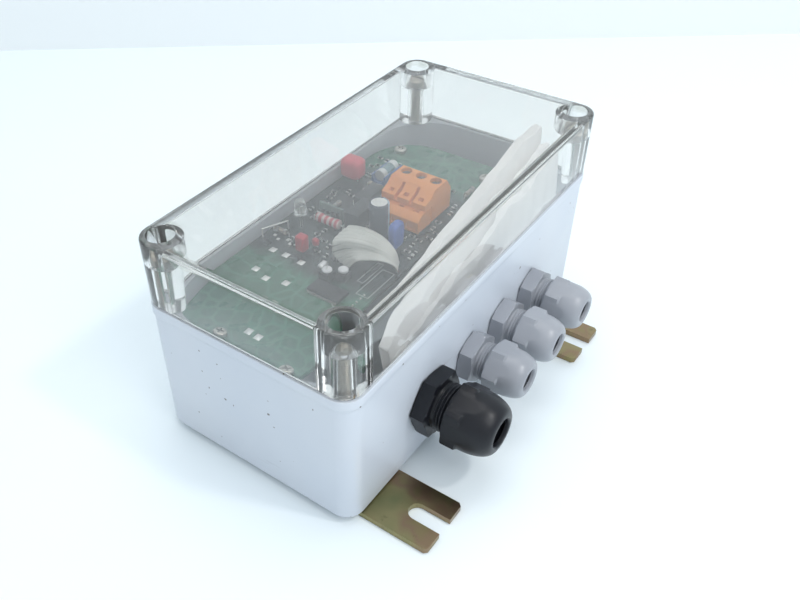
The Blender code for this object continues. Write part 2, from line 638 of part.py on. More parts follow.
def make_fuse():
    """Fuse base with a groove, and the glass fuse that lies in it."""
    x, y, lift, radius, spare = (0.0300, 0.0440), (0.0215, 0.0285), 0.0042, 0.0026, 0.00125
    base = on_board("fuse_holder", x, y, 0.0044, "fuse base blue", edge=0.0004)
    middle = (y[0] + y[1]) / 2
    groove = place("fuse_groove", rod_mesh(radius + GAP, (-0.0002, x[1] - x[0] + 0.0002), 20),
                   at=(x[0], middle, BOARD_Z + lift), turn=(0, 90, 0))
    trim(base, groove)
    way = place("fuse_way", block_mesh((x[0] - 0.0003, x[1] + 0.0003),
                                       (middle - radius - GAP, middle + radius + GAP),
                                       (BOARD_Z + lift, BOARD_Z + 0.010)))
    trim(base, way)
    place("fuse", rod_mesh(radius, (spare, x[1] - x[0] - spare), 16), "fuse glass",
          at=(x[0], middle, BOARD_Z + lift), turn=(0, 90, 0))


def make_leaflet():
    """Folded instruction sheet that leans along the gland side; a plain stand-in solid."""
    left = -BOX_LENGTH / 2 + LEAFLET_INSETS[0]
    right = BOX_LENGTH / 2 - LEAFLET_INSETS[1]
    top = LID_Z - LID_TOP - LEAFLET_ROOM
    outline = [(left, RIM_Z - 0.0143), (right, RIM_Z - 0.0183), (right, top),
               (right - 0.015, top), (left + 0.012, RIM_Z + 0.0012), (left, RIM_Z - 0.0043)]
    mesh = flat_mesh([outline], LEAFLET_DEPTH)
    place("instruction_leaflet", mesh, "paper",
          at=(0, -BOX_WIDTH / 2 + RIM_WALL + LEAFLET_ROOM + LEAFLET_DEPTH / 2, 0),
          turn=(90, 0, 0))


make_base()
make_lid()
gasket_ring("lid_gasket", "dark rubber", 0.0,
            (RIM_Z - GASKET_DEPTH + GAP, SKIRT_Z - GAP))
for corner, (post_x, post_y) in enumerate(POST_SPOTS, 1):
    make_screw(f"lid_screw_{corner}", post_x, post_y, LID_Z - POST_HEAD_DEPTH + GAP, LID_SCREW,
               LID_SCREW_HEAD, LID_SCREW_HEAD_HEIGHT, LID_SCREW_LENGTH)
for strap_side, strap_x in STRAP_X.items():
    make_strap(strap_side, strap_x)
for gland in GLANDS:
    make_gland(*gland)
make_board()
make_terminal()
make_board_parts()
make_ribbon()
make_fuse()
make_leaflet()
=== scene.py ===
"""Garage door opener receiver: a clear-lidded enclosure with cable glands and a filled board."""
import math
import random

import bmesh
import bpy
from mathutils import Matrix, Vector


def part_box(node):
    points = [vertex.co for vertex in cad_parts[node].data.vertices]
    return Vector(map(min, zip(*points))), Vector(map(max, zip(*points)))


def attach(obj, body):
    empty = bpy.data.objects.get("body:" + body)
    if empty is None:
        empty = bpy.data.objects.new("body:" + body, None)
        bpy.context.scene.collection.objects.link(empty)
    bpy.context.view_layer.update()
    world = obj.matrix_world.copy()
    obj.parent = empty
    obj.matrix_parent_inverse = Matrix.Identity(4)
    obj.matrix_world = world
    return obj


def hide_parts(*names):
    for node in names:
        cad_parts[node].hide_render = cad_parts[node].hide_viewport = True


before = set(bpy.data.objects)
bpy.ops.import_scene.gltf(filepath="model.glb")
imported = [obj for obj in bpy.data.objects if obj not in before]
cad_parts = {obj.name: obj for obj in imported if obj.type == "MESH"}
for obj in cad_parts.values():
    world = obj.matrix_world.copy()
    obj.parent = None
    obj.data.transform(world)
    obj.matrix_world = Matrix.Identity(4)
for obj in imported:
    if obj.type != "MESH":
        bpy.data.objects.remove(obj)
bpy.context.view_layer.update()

# Camera, soft studio light and the pale table the box stands on, with a wall far behind it.
scene = bpy.context.scene
scene.view_settings.view_transform = 'Standard'
scene.view_settings.look = 'None'
LENS = 38.34
LOOK_AZIMUTH = math.radians(52.49)
LOOK_DOWN = math.radians(40.945)
LOOK_ROLL = math.radians(-1.498)
camera = bpy.data.objects.new("camera", bpy.data.cameras.new("camera"))
camera.data.sensor_width = 36.0
camera.data.lens = LENS
camera.data.clip_start = 0.005
camera.data.shift_x = 0.0730
camera.data.shift_y = 0.0294
forward = Vector((math.sin(LOOK_AZIMUTH) * math.cos(LOOK_DOWN),
                  math.cos(LOOK_AZIMUTH) * math.cos(LOOK_DOWN), -math.sin(LOOK_DOWN)))
level = forward.cross(Vector((0, 0, 1))).normalized()
upright = level.cross(forward)
side = level * math.cos(LOOK_ROLL) + upright * math.sin(LOOK_ROLL)
upward = upright * math.cos(LOOK_ROLL) - level * math.sin(LOOK_ROLL)
camera.matrix_world = Matrix((
    (side.x, upward.x, -forward.x, -0.23769),
    (side.y, upward.y, -forward.y, -0.14276),
    (side.z, upward.z, -forward.z, 0.26116),
    (0, 0, 0, 1)))
scene.collection.objects.link(camera)
scene.camera = camera

world = bpy.data.worlds.new("studio")
world.use_nodes = True
world.node_tree.nodes["Background"].inputs["Color"].default_value = (0.88, 0.945, 1.0, 1.0)
world.node_tree.nodes["Background"].inputs["Strength"].default_value = 0.84
scene.world = world


def softbox(name, at, aim, size, power, colour=(1, 1, 1)):
    """A square area light at one point, aimed at another."""
    lamp = bpy.data.lights.new(name, 'AREA')
    lamp.size = size
    lamp.energy = power
    lamp.color = colour
    thing = bpy.data.objects.new(name, lamp)
    thing.location = at
    thing.rotation_euler = (Vector(aim) - Vector(at)).to_track_quat('-Z', 'Y').to_euler()
    scene.collection.objects.link(thing)


softbox("window", (-0.25, -0.80, 0.95), (0, 0, 0.03), 0.60, 3.6, (0.98, 0.99, 1.0))
softbox("ceiling", (0.30, 0.25, 1.25), (0, 0, 0.03), 0.9, 6.8, (1.0, 0.985, 0.965))
softbox("lamp", (0.05, -0.42, 0.70), (0, 0, 0.03), 0.06, 1.1, (1.0, 0.99, 0.97))


class Value:
    """One output in a material's node tree that takes part in Python arithmetic."""

    def __init__(self, paint, socket):
        self.paint = paint
        self.socket = socket

    def __add__(self, other):
        return self.paint.maths('ADD', self, other)

    def __sub__(self, other):
        return self.paint.maths('SUBTRACT', self, other)

    def __rsub__(self, other):
        return self.paint.maths('SUBTRACT', other, self)

    def __mul__(self, other):
        return self.paint.maths('MULTIPLY', self, other)

    def __gt__(self, other):
        return self.paint.maths('GREATER_THAN', self, other)

    def __lt__(self, other):
        return self.paint.maths('LESS_THAN', self, other)

    __radd__ = __add__
    __rmul__ = __mul__


class Paint:
    """A Principled material; constants go straight onto its sockets."""

    def __init__(self, name, colour=(0.5, 0.5, 0.5), **constants):
        self.material = bpy.data.materials.new(name)
        self.material.use_nodes = True
        self.tree = self.material.node_tree
        self.shader = self.tree.nodes["Principled BSDF"]
        self.shader.inputs["Base Color"].default_value = (*colour, 1.0)
        for key, value in constants.items():
            self.shader.inputs[key.replace("_", " ")].default_value = value
        self.place = self.node("ShaderNodeTexCoord", {}, {}, "Object")

    def node(self, kind, settings, inputs, output=0):
        """Any node: its settings first, then the values or links of its sockets."""
        made = self.tree.nodes.new(kind)
        for key, value in settings.items():
            if key == "stops":
                ramp = made.color_ramp
                for spot, (position, colour) in enumerate(value):
                    stop = ramp.elements[spot] if spot < 2 else ramp.elements.new(position)
                    stop.position = position
                    stop.color = (*colour, 1.0)
            else:
                setattr(made, key, value)
        for key, value in inputs.items():
            if isinstance(value, Value):
                self.tree.links.new(value.socket, made.inputs[key])
            else:
                made.inputs[key].default_value = value
        return Value(self, made.outputs[output])

    def maths(self, operation, *values):
        return self.node("ShaderNodeMath", {"operation": operation}, dict(enumerate(values)))

    def stretched(self, x, y, z):
        """Object coordinates with each axis scaled."""
        return self.node("ShaderNodeMapping", {}, {"Vector": self.place, "Scale": (x, y, z)})

    def noise(self, scale, detail=2.0, rough=0.5, where=None):
        return self.node("ShaderNodeTexNoise", {},
                         {"Vector": where or self.place, "Scale": scale, "Detail": detail,
                          "Roughness": rough})

    def cells(self, scale, feature='F1', output="Distance", where=None):
        return self.node("ShaderNodeTexVoronoi", {"feature": feature},
                         {"Vector": where or self.place, "Scale": scale}, output)

    def band(self, value, low, high):
        """0 below low, 1 above high, and smooth between."""
        return self.node("ShaderNodeMapRange", {"interpolation_type": 'SMOOTHSTEP'},
                         {"Value": value, "From Min": low, "From Max": high})

    def blend(self, share, first, second):
        """One colour into another as share goes from 0 to 1."""
        one, two = [(*c, 1.0) if isinstance(c, tuple) else c for c in (first, second)]
        return self.node("ShaderNodeMix", {"data_type": 'RGBA'},
                         {"Factor": share, 6: one, 7: two}, 2)

    def feed(self, **links):
        for key, value in links.items():
            self.tree.links.new(value.socket, self.shader.inputs[key.replace("_", " ")])
        return self

    def bump(self, height, strength=0.2, distance=0.0002):
        return self.feed(Normal=self.node("ShaderNodeBump", {}, {
            "Height": height, "Strength": strength, "Distance": distance}))


def satin(name, colour, second, roughness=0.4, grain=900.0, depth=0.05, **constants):
    """Moulded or painted surface with slow colour drift, uneven gloss and a fine grain."""
    paint = Paint(name, colour, **constants)
    drift = paint.band(paint.noise(28.0, 4.0), 0.35, 0.70)
    fine = paint.noise(grain, 2.0)
    paint.feed(Base_Color=paint.blend(drift, colour, second))
    paint.feed(Roughness=paint.noise(60.0, 3.0) * 0.16 + (roughness - 0.08))
    return paint.bump(fine, depth, 0.0001)


table = bpy.data.meshes.new("table")
bm = bmesh.new()
bmesh.ops.create_grid(bm, x_segments=1, y_segments=1, size=3.0,
                      matrix=Matrix.Translation((0, 0, -0.0002)))
bm.to_mesh(table)
bm.free()
table_top = bpy.data.objects.new("table", table)
scene.collection.objects.link(table_top)
paint = Paint("table white", (0.84, 0.90, 0.93), Roughness=0.42)
paint.feed(Base_Color=paint.blend(paint.noise(3.0, 3.0), (0.82, 0.895, 0.93),
                                  (0.86, 0.92, 0.945)))
table.materials.append(paint.material)

wall = bpy.data.meshes.new("wall")
bm = bmesh.new()
bmesh.ops.create_grid(bm, x_segments=1, y_segments=1, size=2.0)
bmesh.ops.transform(bm, verts=bm.verts, matrix=(
    Matrix.Translation((0.2865, 0.1975, 1.999)) @ Matrix.Rotation(math.radians(-53.13), 4, 'Z')
    @ Matrix.Rotation(math.radians(90), 4, 'X')))
bm.to_mesh(wall)
bm.free()
back_wall = bpy.data.objects.new("back_wall", wall)
scene.collection.objects.link(back_wall)
wall.materials.append(Paint("wall white", (0.86, 0.89, 0.90), Roughness=0.7).material)

# Base: light grey moulded box with a thick rim, corner bosses for the lid screws and four
# board pillars. The straps are screwed up under its floor.
base_low, base_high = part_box("base_shell")
MID_Y = (base_low.y + base_high.y) / 2
FLOOR_Z, RIM_Z = base_low.z, base_high.z
HALF_X = (base_high.x - base_low.x) / 2
HALF_Y = (base_high.y - base_low.y) / 2
RIM_PROUD = 0.0005
RIM_HEIGHT = 0.0046
CORNER = 0.0082
CAVITY_CORNER = 0.026
GLAND_NAMES = ("black_gland", "grey_gland_1", "grey_gland_2", "grey_gland_3")
BODY = "enclosure"


def show(name, bm, paint, body, nodes=(), ease=0.0, rounds=2, crease=32.0):
    """Turn a bmesh into a finished piece that rides on a body and stands for CAD nodes."""
    mesh = bpy.data.meshes.new(name)
    bm.to_mesh(mesh)
    bm.free()
    mesh.materials.append(paint.material)
    mesh.shade_smooth()
    thing = bpy.data.objects.new(name, mesh)
    scene.collection.objects.link(thing)
    if ease:
        soft = thing.modifiers.new("eased edges", 'BEVEL')
        soft.width = ease
        soft.segments = rounds
        soft.limit_method = 'ANGLE'
        soft.angle_limit = math.radians(crease)
        soft.harden_normals = True
    else:
        mesh.set_sharp_from_angle(angle=math.radians(crease))
    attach(thing, body)
    if nodes:
        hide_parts(*nodes)
    return thing


def outline(half_x, half_y, corner, steps=12):
    """Corner centres and directions of a rounded rectangle about the box's middle."""
    points = []
    for quarter, (sx, sy) in enumerate(((1, 1), (-1, 1), (-1, -1), (1, -1))):
        centre = Vector((sx * (half_x - corner), MID_Y + sy * (half_y - corner), 0))
        for step in range(steps + 1):
            angle = math.pi / 2 * (quarter + step / steps)
            points.append((centre, Vector((math.cos(angle), math.sin(angle), 0)), corner))
    return points


def skin(stations, closed=False):
    """Extrude an outline from station to station: (points, outward growth, height) each.

    The two ends are capped, unless the last station leads back to the first.
    """
    bm = bmesh.new()
    spot = bm.verts.layers.int.new("spot")

    def settle(verts, points, grow, z):
        for vert in verts:
            centre, away, corner = points[vert[spot]]
            vert.co = centre + away * (corner + grow) + Vector((0, 0, z))

    verts = [bm.verts.new() for _ in stations[0][0]]
    for number, vert in enumerate(verts):
        vert[spot] = number
    settle(verts, *stations[0])
    first = edges = [bm.edges.new(pair) for pair in zip(verts, verts[1:] + verts[:1])]
    for station in stations[1:] + (stations[:1] if closed else []):
        made = bmesh.ops.extrude_edge_only(bm, edges=edges)["geom"]
        verts = {item for item in made if isinstance(item, bmesh.types.BMVert)}
        edges = [item for item in made if isinstance(item, bmesh.types.BMEdge)
                 and set(item.verts) <= verts]
        settle(verts, *station)
    if closed:
        bmesh.ops.remove_doubles(bm, verts=bm.verts, dist=0.000001)
    else:
        bmesh.ops.contextual_create(bm, geom=first)
        bmesh.ops.contextual_create(bm, geom=edges)
    bmesh.ops.recalc_face_normals(bm, faces=bm.faces)
    return bm


def rod(bm, radius, low, high, at=(0, 0), sides=32):
    """An upright cylinder added to a bmesh."""
    made = bmesh.ops.create_cone(bm, cap_ends=True, segments=sides, radius1=radius,
                                 radius2=radius, depth=high - low)
    bmesh.ops.translate(bm, verts=made["verts"], vec=(at[0], at[1], (low + high) / 2))
    return made["verts"]


def slab(bm, x, y, z, ease=0.0, rounds=2):
    """A box between pairs of limits added to a bmesh, with eased edges if asked for."""
    made = bmesh.ops.create_cube(bm, size=1.0)["verts"]
    bmesh.ops.scale(bm, verts=made, vec=(x[1] - x[0], y[1] - y[0], z[1] - z[0]))
    bmesh.ops.translate(bm, verts=made, vec=(sum(x) / 2, sum(y) / 2, sum(z) / 2))
    if ease:
        edges = list({edge for vert in made for edge in vert.link_edges})
        made = bmesh.ops.bevel(bm, geom=edges, offset=ease, segments=rounds, profile=0.5,
                               material=-1, affect='EDGES')["verts"]
    return made


def carve(bm, *tools, operation='DIFFERENCE'):
    """Cut each tool bmesh from the first one, or join it on."""
    def lend(mesh_source):
        mesh = bpy.data.meshes.new("blank")
        mesh_source.to_mesh(mesh)
        mesh_source.free()
        thing = bpy.data.objects.new("blank", mesh)
        scene.collection.objects.link(thing)
        return thing

    blank = lend(bm)
    cutters = [lend(tool) for tool in tools]
    for cutter in cutters:
        step = blank.modifiers.new("cut", 'BOOLEAN')
        step.operation = operation
        step.solver = 'EXACT'
        step.object = cutter
    graph = bpy.context.evaluated_depsgraph_get()
    result = bpy.data.meshes.new_from_object(blank.evaluated_get(graph))
    for thing in (blank, *cutters):
        bpy.data.objects.remove(thing, do_unlink=True)
    cut = bmesh.new()
    cut.from_mesh(result)
    bmesh.ops.remove_doubles(cut, verts=cut.verts, dist=0.000002)
    bmesh.ops.dissolve_limit(cut, angle_limit=math.radians(0.5), verts=cut.verts,
                             edges=cut.edges)
    return cut


def centre_of(node):
    """The middle of a CAD node, seen from above."""
    low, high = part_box(node)
    return (low.x + high.x) / 2, (low.y + high.y) / 2


def gland_axis(name):
    """The x and z of a gland's axis."""
    low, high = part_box(f"{name}_seal")
    return (low.x + high.x) / 2, (low.z + high.z) / 2


wide = outline(HALF_X, HALF_Y, CORNER)
narrow = outline(HALF_X - 0.0038, HALF_Y - 0.0038, CAVITY_CORNER)
collar = RIM_Z - RIM_HEIGHT
bm = skin([(wide, grow, z) for grow, z in (
    (-0.0021, FLOOR_Z), (-0.0015, FLOOR_Z + 0.00012), (-0.0009, FLOOR_Z + 0.0005),
    (-RIM_PROUD, FLOOR_Z + 0.0014), (-RIM_PROUD, collar - 0.0004), (-0.0003, collar - 0.0001),
    (-0.00005, collar + 0.0004), (0, collar + 0.0009), (0, RIM_Z - 0.0004),
    (-0.0001, RIM_Z - 0.0001), (-0.0004, RIM_Z), (-0.0012, RIM_Z), (-0.00122, RIM_Z - 0.0012),
    (-0.00258, RIM_Z - 0.0012), (-0.0026, RIM_Z))] + [(narrow, grow, z) for grow, z in (
        (-0.0003, RIM_Z), (0, RIM_Z - 0.0003), (0, collar), (0.0006, collar - 0.0002),
        (0.0006, FLOOR_Z + 0.004), (0.0002, FLOOR_Z + 0.0033), (-0.0006, FLOOR_Z + 0.003))])
pillar_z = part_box("circuit_board")[0].z - 0.0003
holes = []
for name in GLAND_NAMES:
    axis_x, axis_z = gland_axis(name)
    hole = bmesh.new()
    rod(hole, 0.0101 if name == "black_gland" else 0.0082, -0.004, 0.008, sides=48)
    bmesh.ops.transform(hole, verts=hole.verts, matrix=(
        Matrix.Translation((axis_x, base_low.y, axis_z)) @ Matrix.Rotation(-math.pi / 2, 4, 'X')))
    holes.append(hole)
for number in range(1, 5):
    hole = bmesh.new()
    rod(hole, 0.0023, 0.047, RIM_Z + 0.001, centre_of(f"lid_screw_{number}"), 24)
    holes.append(hole)
bm = carve(bm, *holes)
for number in range(1, 5):
    rod(bm, 0.0036, FLOOR_Z + 0.0029, pillar_z, centre_of(f"board_screw_{number}"), 24)
grey = Paint("enclosure grey", (0.62, 0.66, 0.72), Roughness=0.36)
cloud = grey.band(grey.noise(16.0, 4.0), 0.30, 0.72)
speck = grey.band(grey.noise(420.0, 1.0, 0.4), 0.785, 0.80)
scuff = grey.band(grey.noise(1.0, 5.0, 0.6, grey.stretched(40, 40, 260)), 0.66, 0.74)
grey.feed(Base_Color=grey.blend(speck, grey.blend(
    scuff * 0.22, grey.blend(cloud, (0.60, 0.645, 0.715), (0.645, 0.68, 0.735)),
    (0.42, 0.43, 0.45)), (0.16, 0.14, 0.13)))
grey.feed(Roughness=grey.noise(90.0, 3.0) * 0.16 + scuff * 0.1 + 0.27)
grey.bump(grey.noise(1300.0, 2.0), 0.05, 0.0001)
show("enclosure_base", bm, grey, BODY, ["base_shell"], crease=28)

# Gasket: a cord of dark foam rubber, laid loose in the groove of the rim. The lid's skirt
# presses it down when the four screws are tightened.
gasket_low, gasket_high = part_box("lid_gasket")
bm = skin([(wide, grow, z) for grow, z in (
    (-0.0012, gasket_low.z), (-0.0012, gasket_high.z - 0.0003), (-0.0014, gasket_high.z),
    (-0.0024, gasket_high.z), (-0.0026, gasket_high.z - 0.0003), (-0.0026, gasket_low.z))], True)
foam = satin("gasket foam", (0.035, 0.033, 0.03), (0.07, 0.06, 0.05), 0.8, 2500.0, 0.5)
show("seal_cord", bm, foam, BODY, ["lid_gasket"])

# Lid: clear polycarbonate, moulded in one piece with a post in each corner. A screw stands in
# the counterbore of each post and holds the lid down on the gasket.
def turn_profile(bm, profile, steps=48):
    """Spin (radius, height) points about the Z axis."""
    verts = [bm.verts.new((radius, 0, height)) for radius, height in profile]
    edges = [bm.edges.new(pair) for pair in zip(verts, verts[1:])]
    bmesh.ops.spin(bm, geom=verts + edges, cent=(0, 0, 0), axis=(0, 0, 1),
                   angle=2 * math.pi, steps=steps, use_merge=True)
    bmesh.ops.remove_doubles(bm, verts=bm.verts, dist=0.000001)
    bmesh.ops.recalc_face_normals(bm, faces=bm.faces)
    return bm


lid_low, lid_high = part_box("lid_shell")
LID_HALF_X = (lid_high.x - lid_low.x) / 2
LID_HALF_Y = (lid_high.y - lid_low.y) / 2
WALL = 0.003
POST_X, POST_Y = 0.082, 0.03925
cover = outline(LID_HALF_X, LID_HALF_Y, 0.0079, 14)
bm = skin([(cover, grow, z) for grow, z in (
    (-0.0003, lid_low.z), (-0.0001, lid_low.z + 0.0001), (0, lid_low.z + 0.0003),
    (0, lid_high.z - 0.0011), (-0.0001, lid_high.z - 0.0006), (-0.00035, lid_high.z - 0.00025),
    (-0.0007, lid_high.z - 0.00006), (-0.0011, lid_high.z))])
inside = outline(LID_HALF_X - WALL, LID_HALF_Y - WALL, 0.0012, 3)
hollow = skin([(inside, grow, z) for grow, z in (
    (0, lid_low.z - 0.002), (0, lid_high.z - WALL - 0.0008), (-0.0002, lid_high.z - WALL - 0.0002),
    (-0.0008, lid_high.z - WALL))])
posts = []
ways = []
for sx in (-1, 1):
    for sy in (-1, 1):
        spot = (sx * POST_X, MID_Y + sy * POST_Y)
        post = bmesh.new()
        rod(post, 0.0080, lid_low.z - 0.003, lid_high.z, spot, 56)
        posts.append(post)
        seat = lid_high.z - 0.0112
        way = turn_profile(bmesh.new(), [
            (0, lid_high.z + 0.001), (0.0054, lid_high.z + 0.001), (0.0054, lid_high.z),
            (0.0052, lid_high.z - 0.0003), (0.0051, seat), (0.0023, seat - 0.0006),
            (0.0023, lid_low.z - 0.001), (0, lid_low.z - 0.001)])
        bmesh.ops.translate(way, verts=way.verts, vec=(*spot, 0))
        ways.append(way)
bm = carve(carve(bm, carve(hollow, *posts)), *ways)
clear = Paint("clear polycarbonate", (0.95, 0.943, 0.925), Roughness=0.015, IOR=1.56,
              Transmission_Weight=0.955)
spread = clear.node("ShaderNodeMapping", {}, {"Vector": clear.place,
                                              "Location": (0, -MID_Y, 0)})
part_x, part_y, part_z = [
    clear.node("ShaderNodeSeparateXYZ", {}, {"Vector": spread}, axis) for axis in "XYZ"]
from_end = LID_HALF_X - clear.maths('ABSOLUTE', part_x)
from_side = LID_HALF_Y - clear.maths('ABSOLUTE', part_y)
# Painted refraction: the tops of the walls and the rings on the post tops around the screw wells are
# tinted beige. The tint stands in for the light bent and reflected inside the thick clear plastic.
edge_refraction_tint = (1 - clear.band(clear.maths('MINIMUM', from_end, from_side), 0.0026, 0.0034)) * (
    clear.band(part_z, lid_high.z - 0.0034, lid_high.z - 0.0028))
off_post = clear.node("ShaderNodeCombineXYZ", {}, {
    0: from_end - (LID_HALF_X - POST_X), 1: from_side - (LID_HALF_Y - POST_Y)})
from_post = clear.node("ShaderNodeVectorMath", {"operation": 'LENGTH'}, {0: off_post}, "Value")
post_refraction_tint = clear.band(from_post, 0.0048, 0.0054) * (1 - clear.band(from_post, 0.0076, 0.0084)) * (
    clear.band(part_z, lid_high.z - 0.0005, lid_high.z - 0.0002))
clear.feed(Base_Color=clear.blend(clear.maths('MAXIMUM', edge_refraction_tint, post_refraction_tint),
                                  (0.95, 0.943, 0.925), (0.78, 0.77, 0.72)))
rub = clear.band(clear.noise(1.0, 4.0, 0.65, clear.stretched(30, 420, 60)), 0.60, 0.78)
clear.feed(Roughness=rub * 0.05 + 0.012)
show("clear_lid", bm, clear, "lid", ["lid_shell"], ease=0.0004, crease=40)

# Screws: zinc-plated steel, with a turned head and a rolled thread. The four lid screws have a
# driver slot and have gone dull; the board is held by four small ones with a cross.
zinc = satin("zinc plate", (0.52, 0.50, 0.46), (0.40, 0.38, 0.34), 0.34, 1800.0, 0.08,
             Metallic=1.0)
dull_zinc = satin("dull zinc plate", (0.34, 0.31, 0.26), (0.22, 0.20, 0.17), 0.45, 1800.0, 0.12,
                  Metallic=1.0)


def thread(radius, top, bottom, pitch, depth):
    """Profile points of a thread between two heights, from the top down."""
    count = int((top - bottom) / pitch)
    points = []
    for number in range(count):
        high = top - number * pitch
        points += [(radius, high - 0.1 * pitch), (radius, high - 0.3 * pitch),
                   (radius - depth, high - 0.5 * pitch), (radius - depth, high - 0.7 * pitch)]
    return points


def screw(name, node, body, paint, head, head_height, shank, slot, turn=35.0, cross=False,
          dome=0.0006, steps=36):
    """A screw on the CAD screw's axis, with its head uppermost."""
    low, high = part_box(node)
    at = Vector(((low.x + high.x) / 2, (low.y + high.y) / 2, high.z - head_height))
    bottom = low.z - at.z
    profile = [(0, head_height), (head * 0.30, head_height - dome * 0.05),
               (head * 0.42, head_height - dome * 0.3), (head * 0.49, head_height - dome),
               (head * 0.5, head_height - dome * 1.5), (head * 0.5, 0.0001),
               (head * 0.48, 0), (shank / 2, 0), (shank / 2, -0.0008)]
    profile += thread(shank / 2, -0.0008, bottom + 0.0008, 0.0007, 0.0003)
    profile += [(shank / 2 - 0.0004, bottom + 0.0004), (shank / 2 - 0.0007, bottom), (0, bottom)]
    bm = turn_profile(bmesh.new(), profile, steps)
    slots = bmesh.new()
    slab(slots, (-head, head) if not cross else (-head * 0.3, head * 0.3), (-slot / 2, slot / 2),
         (head_height * 0.5, head_height + 0.001))
    tools = [slots]
    if cross:
        second = bmesh.new()
        slab(second, (-slot / 2, slot / 2), (-head * 0.3, head * 0.3),
             (head_height * 0.5, head_height + 0.001))
        tools.append(second)
    bm = carve(bm, *tools)
    bmesh.ops.transform(bm, verts=bm.verts, matrix=(
        Matrix.Translation(at) @ Matrix.Rotation(math.radians(turn), 4, 'Z')))
    return show(name, bm, paint, body, [node], crease=35)


for number, turn in enumerate((28, 62, 105, -20), 1):
    screw(f"lid_fixing_{number}", f"lid_screw_{number}", f"lid_screw_{number}", dull_zinc,
          0.0074, 0.0030, 0.0040, 0.0011, turn)
for number, turn in enumerate((10, 47, 80, 130), 1):
    screw(f"board_fixing_{number}", f"board_screw_{number}", BODY, zinc, 0.0056, 0.0020,
          0.0030, 0.0008, turn, cross=True)

# Straps: flat steel bar, yellow zinc plated, slotted at the end that shows; two screws from
# inside the base pull each one up against the floor.
gold = Paint("yellow zinc", (0.30, 0.27, 0.13), Roughness=0.35, Metallic=1.0)
hue = gold.node("ShaderNodeValToRGB", {"stops": (
    (0.32, (0.22, 0.22, 0.11)), (0.44, (0.30, 0.265, 0.135)), (0.52, (0.29, 0.20, 0.13)),
    (0.62, (0.27, 0.26, 0.11)), (0.74, (0.18, 0.20, 0.12)))},
    {"Fac": gold.noise(34.0, 3.0, 0.55)})
grime = gold.band(gold.noise(240.0, 4.0, 0.6), 0.60, 0.76)
gold.feed(Base_Color=gold.blend(grime * 0.5, hue, (0.12, 0.10, 0.06)))
gold.feed(Roughness=gold.noise(75.0, 3.0) * 0.22 + grime * 0.12 + 0.22)
gold.bump(gold.noise(1.0, 3.0, 0.6, gold.stretched(2600, 260, 260)), 0.07, 0.0001)
for side_name in ("left", "right"):
    low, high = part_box(f"mounting_strap_{side_name}")
    mid_x = (low.x + high.x) / 2
    half = (high.x - low.x) / 2
    slot = 0.0037
    round_y = low.y + 0.0152 - slot
    points = [(-half, high.y), (-half, low.y + 0.0012), (-half + 0.0012, low.y), (-slot, low.y)]
    points += [(slot * math.cos(a), round_y + slot * math.sin(a)) for a in (
        math.pi * (1 - step / 24) for step in range(25))]
    points += [(slot, low.y), (half - 0.0012, low.y), (half, low.y + 0.0012), (half, high.y)]
    bm = bmesh.new()
    face = bm.faces.new([bm.verts.new((mid_x + x, y, low.z)) for x, y in points])
    grown = bmesh.ops.extrude_face_region(bm, geom=[face])["geom"]
    bmesh.ops.translate(bm, vec=(0, 0, high.z - low.z),
                        verts=[v for v in grown if isinstance(v, bmesh.types.BMVert)])
    bmesh.ops.recalc_face_normals(bm, faces=bm.faces)
    tapped = []
    for number in (1, 2):
        tool = bmesh.new()
        rod(tool, 0.0022, low.z - 0.001, high.z + 0.001,
            (mid_x, centre_of(f"strap_screw_{side_name}_{number}")[1]), 32)
        tapped.append(tool)
    bm = carve(bm, *tapped)
    show(f"strap_{side_name}", bm, gold, BODY, [f"mounting_strap_{side_name}"], ease=0.00035,
         rounds=3, crease=50)
    for number in (1, 2):
        screw(f"strap_fixing_{side_name}_{number}", f"strap_screw_{side_name}_{number}", BODY,
              zinc, 0.0080, 0.0026, 0.0040, 0.0011, 20 + 50 * number, cross=True)

# Cable glands: moulded nylon body with a hex flange outside the wall and a lock nut inside it,
# a rubber insert in its mouth, and a dome nut that squeezes the insert on the cable.
black_nylon = satin("black nylon", (0.006, 0.007, 0.010), (0.011, 0.012, 0.016), 0.33, 1100.0,
                    0.10, Specular_IOR_Level=0.32)
grey_nylon = satin("grey nylon", (0.300, 0.315, 0.350), (0.345, 0.360, 0.395), 0.33, 1100.0, 0.08)
insert_rubber = satin("insert rubber", (0.012, 0.012, 0.013), (0.03, 0.03, 0.03), 0.7, 1500.0, 0.2)
HEX = math.pi / 3
NUT_TURN = {"black_gland": 22.0, "grey_gland_1": 50.0, "grey_gland_2": 48.0,
            "grey_gland_3": 18.0}
GLANDS = {
    "black": {"thread": 0.0098, "flat": 0.0120, "flange": 0.0067, "nut": 0.0127,
              "shoulder": 0.0197, "reach": 0.0315, "mouth": 0.0056, "dome": 0.0124,
              "bore": 0.0065, "inside": 0.0120, "lock": 0.0130, "lock_long": 0.0060,
              "turn": 52.0},
    "grey": {"thread": 0.0079, "flat": 0.0095, "flange": 0.0065, "nut": 0.0112,
             "shoulder": 0.0180, "reach": 0.0272, "mouth": 0.0043, "dome": 0.0098,
             "bore": 0.0050, "inside": 0.0110, "lock": 0.0110, "lock_long": 0.0050,
             "turn": 22.0}}
WALL_Y = base_low.y + RIM_PROUD


def flats(bm, across, turn, low, high):
    """Press six flats into whatever stands out past them between two heights."""
    turn = math.radians(turn)
    for vert in bm.verts:
        if not low - 1e-6 <= vert.co.z <= high + 1e-6:
            continue
        reach = vert.co.xy.length
        angle = math.atan2(vert.co.y, vert.co.x) - turn
        away = (angle % HEX) - HEX / 2
        limit = across / math.cos(away)
        if reach > limit:
            vert.co.x *= limit / reach
            vert.co.y *= limit / reach
    return bm


def on_wall(bm, name):
    """Stand a turned piece on the gland's axis, heights pointing out of the wall."""
    axis_x, axis_z = gland_axis(name)
    bmesh.ops.transform(bm, verts=bm.verts, matrix=(
        Matrix.Translation((axis_x, WALL_Y, axis_z)) @ Matrix.Rotation(math.pi / 2, 4, 'X')))
    return bm


